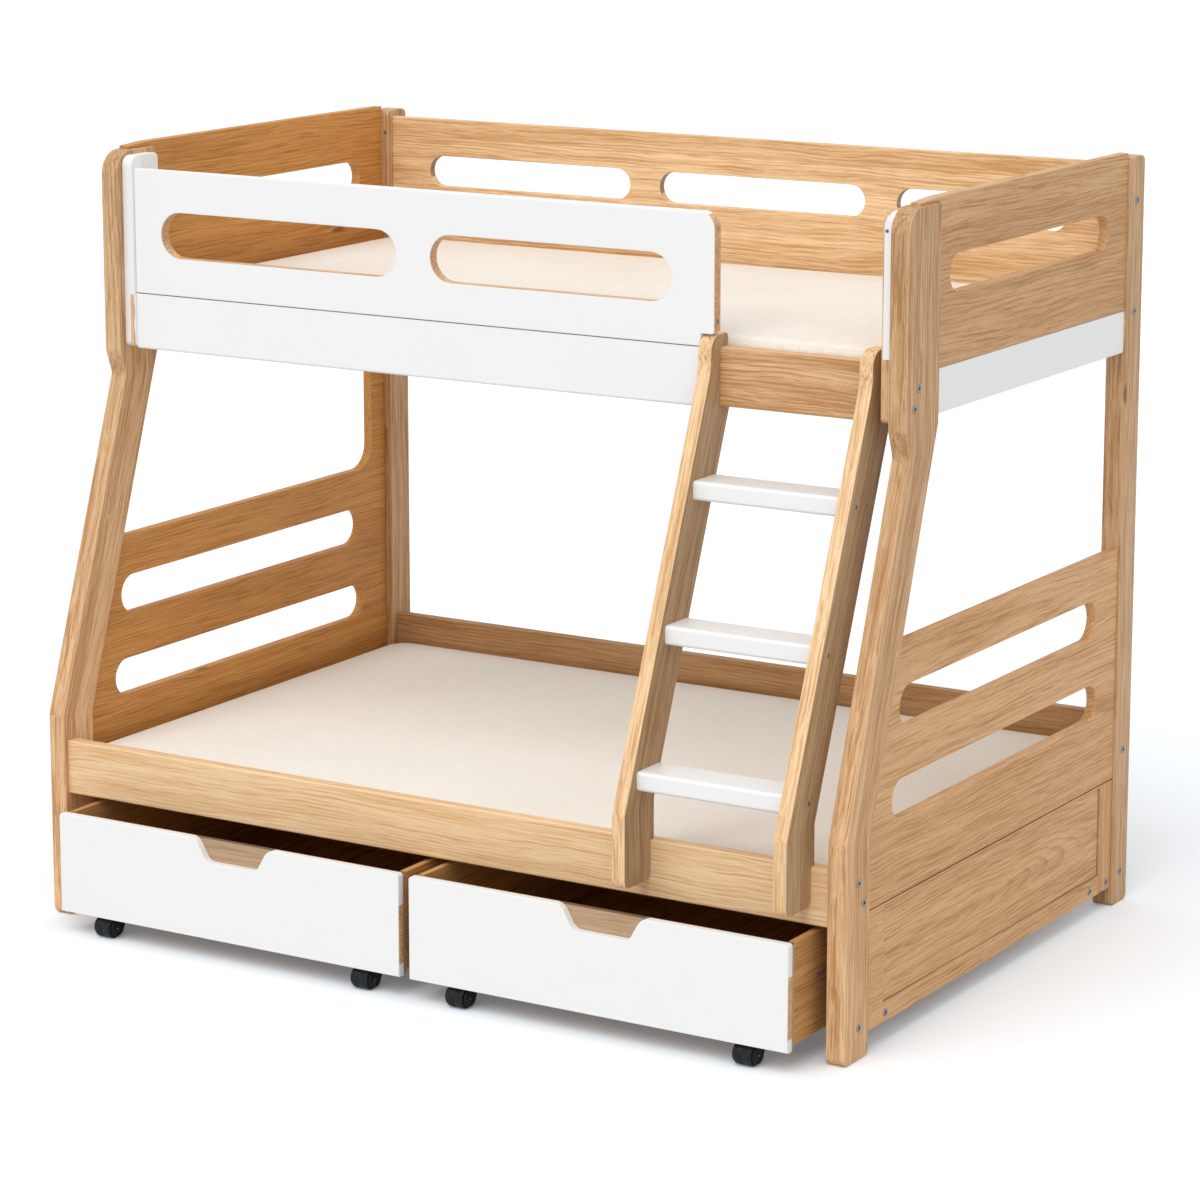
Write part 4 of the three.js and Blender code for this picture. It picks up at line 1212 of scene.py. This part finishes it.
# Points of a bolt's head and of its socket's floor, in parts of the head's radius, the socket's radius and the
# head's height, and 1 where the ring has six sides
HEAD_PROFILE = ((0, 0, 0, 0), (1, 0, 0, 0), (1, 0, 0.45, 0), (0.95, 0, 0.85, 0), (0.86, 0, 1, 0),
                (0, 1.22, 1, 0), (0, 1.04, 0.92, 1), (0, 1, 0.12, 1), (0, 0, 0.12, 0))
SOCKET_FLOOR = ((0, 0, 0.14, 0), (0, 0.985, 0.14, 1), (0, 0.985, 0.45, 1), (0, 0, 0.45, 0))


@dataclass
class Fasteners:
    """Bolt heads, screws and wooden plugs, each kind as one mesh, with the drawer's pin and the raw strip."""

    head_radius: float = 0.0090
    ladder_head: float = 0.0056
    guard_head: float = 0.0046
    screw_head: float = 0.0042
    head_proud: float = 0.0018
    socket_radius: float = 0.0040
    outer_face: float = 2.080
    inner_board_face: float = 2.074
    ladder_face: float = 1.992
    leg_places: Pairs = ((0.292, 1.381), (0.274, 1.340), (0.054, 0.384), (0.078, 0.337), (0.062, 0.071))
    post_places: Pairs = ((1.370, 1.657), (1.370, 1.404), (1.370, 0.371), (1.370, 0.078))
    board_places: Pairs = ((0.193, 0.067), (1.215, 0.065), (1.306, 0.065))
    ladder_places: Pairs = ((0.188, 1.141), (0.235, 1.137), (0.075, 0.850), (-0.003, 0.555))
    guard_place: Triple = (1.608, 0.282, 1.484)
    plug_places: tuple[Triple, ...] = ((0.044, 0.208, 1.010), (0.044, 0.190, 0.955), (0.044, 0.178, 0.915))
    screw_places: tuple[Triple, ...] = ((2.018, 0.260, 1.706), (0.0405, 1.330, 1.702))
    pin_place: Triple = (2.0016, 0.066, 0.193)
    pin_length: float = 0.0440
    pin_slant: float = 0.25
    strip_left: float = 0.0625
    strip_right: float = 0.0705
    strip_face: float = 0.2596
    strip_heights: tuple[float, float] = (1.306, 1.427)

    def turned(self, profile: tuple[tuple[float, ...], ...], radius: float) -> Form:
        """Turns one of a bolt's profiles, for a head of that radius that faces +x."""
        scale = radius / self.head_radius
        of_head, of_socket, of_height, six_sided = np.array(profile, dtype=float).T
        rings = joined(of_head * radius + of_socket * self.socket_radius * scale,
                       of_height * self.head_proud * scale)
        return revolved(rings, 36, 6, six_sided)

    def plug(self, radius: float = 0.0060) -> Form:
        """Makes a wooden plug that faces +x, as a low dome turned from an arc."""
        top = dome(radius, 0.0, 0.0006, 6)
        return revolved(np.concatenate([[[0.0, -0.0005], [radius, -0.0005]], top]), 28)

    def _place(self, name: str, form: Form, places: np.ndarray, flips: np.ndarray, material: Look) -> None:
        """Copies a form to its places in the layout, facing 1 or -1 along x, as one piece on the frame."""
        piece = mesh_piece(name, *repeated(form, from_layout(places), flips))
        settle(piece, material, FRAME_BODY, CREASE)
        LOG.info("%s: %d", name, len(places))

    def _drawer_pin(self, material: Look) -> None:
        """Builds the small steel pin on the right drawer's outer side, a rod along y that slants."""
        rod = np.array([[0.0, 0.0], [0.0016, 0.0], [0.0020, 0.0008], [0.0020, self.pin_length],
                        [0.0, self.pin_length]])
        place = from_layout(np.array([self.pin_place]))
        points, faces = repeated(turned_to_front(revolved(rod, 16)), place, np.ones(1))
        points[:, 2] += self.pin_slant * (points[:, 1] - place[0, 1])
        settle(mesh_piece("drawer_pin", points, faces), material, "drawer_right", CREASE)

    def _strip(self, material: Look) -> None:
        """Builds the thin raw strip beside the left cheek: a grid whose right edge is a slow sine wave."""
        height = np.linspace(*self.strip_heights, 24)[:, None]
        width = np.linspace(0.0, 1.0, 4)[None, :]
        right = self.strip_right + 0.0012 * np.sin((height - self.strip_heights[0]) * 95.0)
        x = self.strip_left + (right - self.strip_left) * width
        points = joined(x, self.strip_face, height).reshape(-1, 3)
        piece = mesh_piece("cheek_strip", from_layout(points), grid_faces(24, 4, closed=False))
        wall = piece.modifiers.new("wall", "SOLIDIFY")
        wall.thickness = 0.003
        wall.offset = 0.0
        settle(piece, material, FRAME_BODY)

    def build(self, steel: Look, dark: Look, wood: Look) -> None:
        """Builds every fastener, of steel, with a floor of painted shade in its socket, or of wood."""
        right = np.array([[self.outer_face, y, z] for y, z in self.leg_places + self.post_places]
                         + [[self.inner_board_face, y, z] for y, z in self.board_places])
        left = right * np.array([-1, 1, 1]) + np.array([self.outer_face, 0, 0])
        ladder = np.array([[self.ladder_face, y, z] for y, z in self.ladder_places])
        jobs = (("frame", self.head_radius, np.concatenate([right, left]), np.repeat([1.0, -1.0], len(right))),
                ("ladder", self.ladder_head, ladder, np.ones(len(ladder))),
                ("guard", self.guard_head, np.array([self.guard_place]), np.ones(1)))
        for label, radius, places, flips in jobs:
            self._place(f"{label}_bolts", self.turned(HEAD_PROFILE, radius), places, flips, steel)
            self._place(f"{label}_sockets", self.turned(SOCKET_FLOOR, radius), places, flips, dark)
        screws = np.array(self.screw_places)
        for label, profile, material in (("front_screws", HEAD_PROFILE, steel),
                                         ("front_screw_sockets", SOCKET_FLOOR, dark)):
            form = turned_to_front(self.turned(profile, self.screw_head))
            self._place(label, form, screws, np.ones(len(screws)), material)
        self._drawer_pin(steel)
        plugs = np.array(self.plug_places)
        self._place("leg_plugs", self.plug(), plugs, np.ones(len(plugs)), wood)
        self._strip(wood)


# The studio


@dataclass
class Studio:
    """The pale floor, the soft light and the camera."""

    camera_place: Triple = (4.696, -7.5875, 2.761)
    yaw: float = -0.549390
    pitch: float = 0.197290
    focal_length: float = 119.485
    shift_up: float = -100.0 / 1200.0
    world_strength: float = 0.74
    key_strength: float = 1.36
    key_angle: float = 0.9
    key_aim: Triple = (-0.02, 0.80, -1.05)
    floor_reach: float = 60.0
    floor_seen: Triple = (0.918, 0.955, 0.985)
    floor_dimmest: float = 0.995
    floor_bounce: Triple = (0.66, 0.66, 0.66)
    floor_glow: Triple = (0.100, 0.110, 0.120)

    def build(self) -> None:
        """Sets the camera, the light and the floor."""
        self._camera()
        self._light()
        self._floor()
        bpy.context.scene.view_settings.view_transform = "Standard"
        LOG.info("studio: camera, world, key light and floor")

    def _camera(self) -> None:
        """Sets the camera where the picture was taken from."""
        data = bpy.data.cameras.new("camera")
        data.lens = self.focal_length
        data.sensor_width = 36.0
        data.shift_y = self.shift_up
        data.clip_end = 200.0
        camera = in_scene("camera", data)
        camera.location = self.camera_place
        camera.rotation_euler = (math.pi / 2 - self.pitch, 0.0, -self.yaw)
        bpy.context.scene.camera = camera

    def _light(self) -> None:
        """Sets an even white world, white to the camera, and one wide soft key from the front left."""
        world = bpy.data.worlds.new("studio")
        world.use_nodes = True
        made = Nodes(world.node_tree)
        background = made.tree.nodes["Background"]
        background.inputs["Color"].default_value = (1.0, 1.0, 1.0, 1.0)
        background.inputs["Strength"].default_value = self.world_strength
        shown = made.node("Background", {"Color": (1.0, 1.0, 1.0, 1.0)})
        shaders = [Signal(made, node.outputs[0]) for node in (background, shown)]
        mix = made.node("MixShader", dict(enumerate([made.seen_directly(), *shaders])))
        made.put(made.tree.nodes["World Output"].inputs["Surface"], Signal(made, mix.outputs[0]))
        bpy.context.scene.world = world
        key = bpy.data.lights.new("key", "SUN")
        key.energy = self.key_strength
        key.angle = self.key_angle
        lamp = in_scene("key", key)
        lamp.rotation_euler = Vector(self.key_aim).to_track_quat("-Z", "Y").to_euler()

    def _floor(self) -> None:
        """Lays a wide pale floor that keeps the bed's shadow."""
        corners = np.array([[-1.0, -1.0, 0.0], [1.0, -1.0, 0.0], [1.0, 1.0, 0.0], [-1.0, 1.0, 0.0]])
        floor = mesh_piece("floor", corners * self.floor_reach, np.array([[0, 1, 2, 3]]), smooth=False)
        made = Material("floor")
        shift, _ = made.mottle(0.4, 8.0)
        darker = opaque(c * self.floor_dimmest for c in self.floor_seen)
        shown = made.blend(made.math("ADD", shift, 0.5, clamp=True), darker, opaque(self.floor_seen))
        seen = made.seen_directly()
        made.finish({"Base Color": made.blend(seen, opaque(self.floor_bounce), shown),
                     "Emission Color": made.blend(seen, (0.0, 0.0, 0.0, 1.0), opaque(self.floor_glow)),
                     "Emission Strength": 1.0, "Roughness": 0.9, "Specular IOR Level": 0.1})
        floor.data.materials.append(made.material)


def main() -> None:
    """Builds the whole picture."""
    logging.basicConfig(level=logging.INFO, format="%(name)s: %(message)s")
    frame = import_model()
    nodes = frame["nodes"]
    Studio().build()
    plastic = PLASTIC.material("black_plastic")
    steel = STEEL.material("zinc_steel")
    boards = Boards(nodes)
    boards.dress(plastic)
    # The lower pad's cover is made paler than the upper one's as painted light, to lift the upper bunk's shade
    # off it
    shade_lifted_cloth = ClothFinish(light=(0.998, 0.975, 0.925), dark=(0.865, 0.795, 0.690))
    MattressPad("lower_mattress", height=0.064).build(shade_lifted_cloth.material("shade_lifted_cover"))
    MattressPad("upper_mattress", height=0.094).build(ClothFinish().material("cream_cover"))
    wheels = [name for name in nodes if name.endswith("_wheel")]
    CastorWheels().build(wheels, plastic)
    CastorCaps().build(wheels, plastic, steel)
    plug_wood = boards.honey.material("plug_wood", Board(Grain.ALONG_Z, 9.9))
    Fasteners().build(steel, SOCKET_SHADE.material("socket_shade"), plug_wood)


if __name__ == "__main__":
    main()
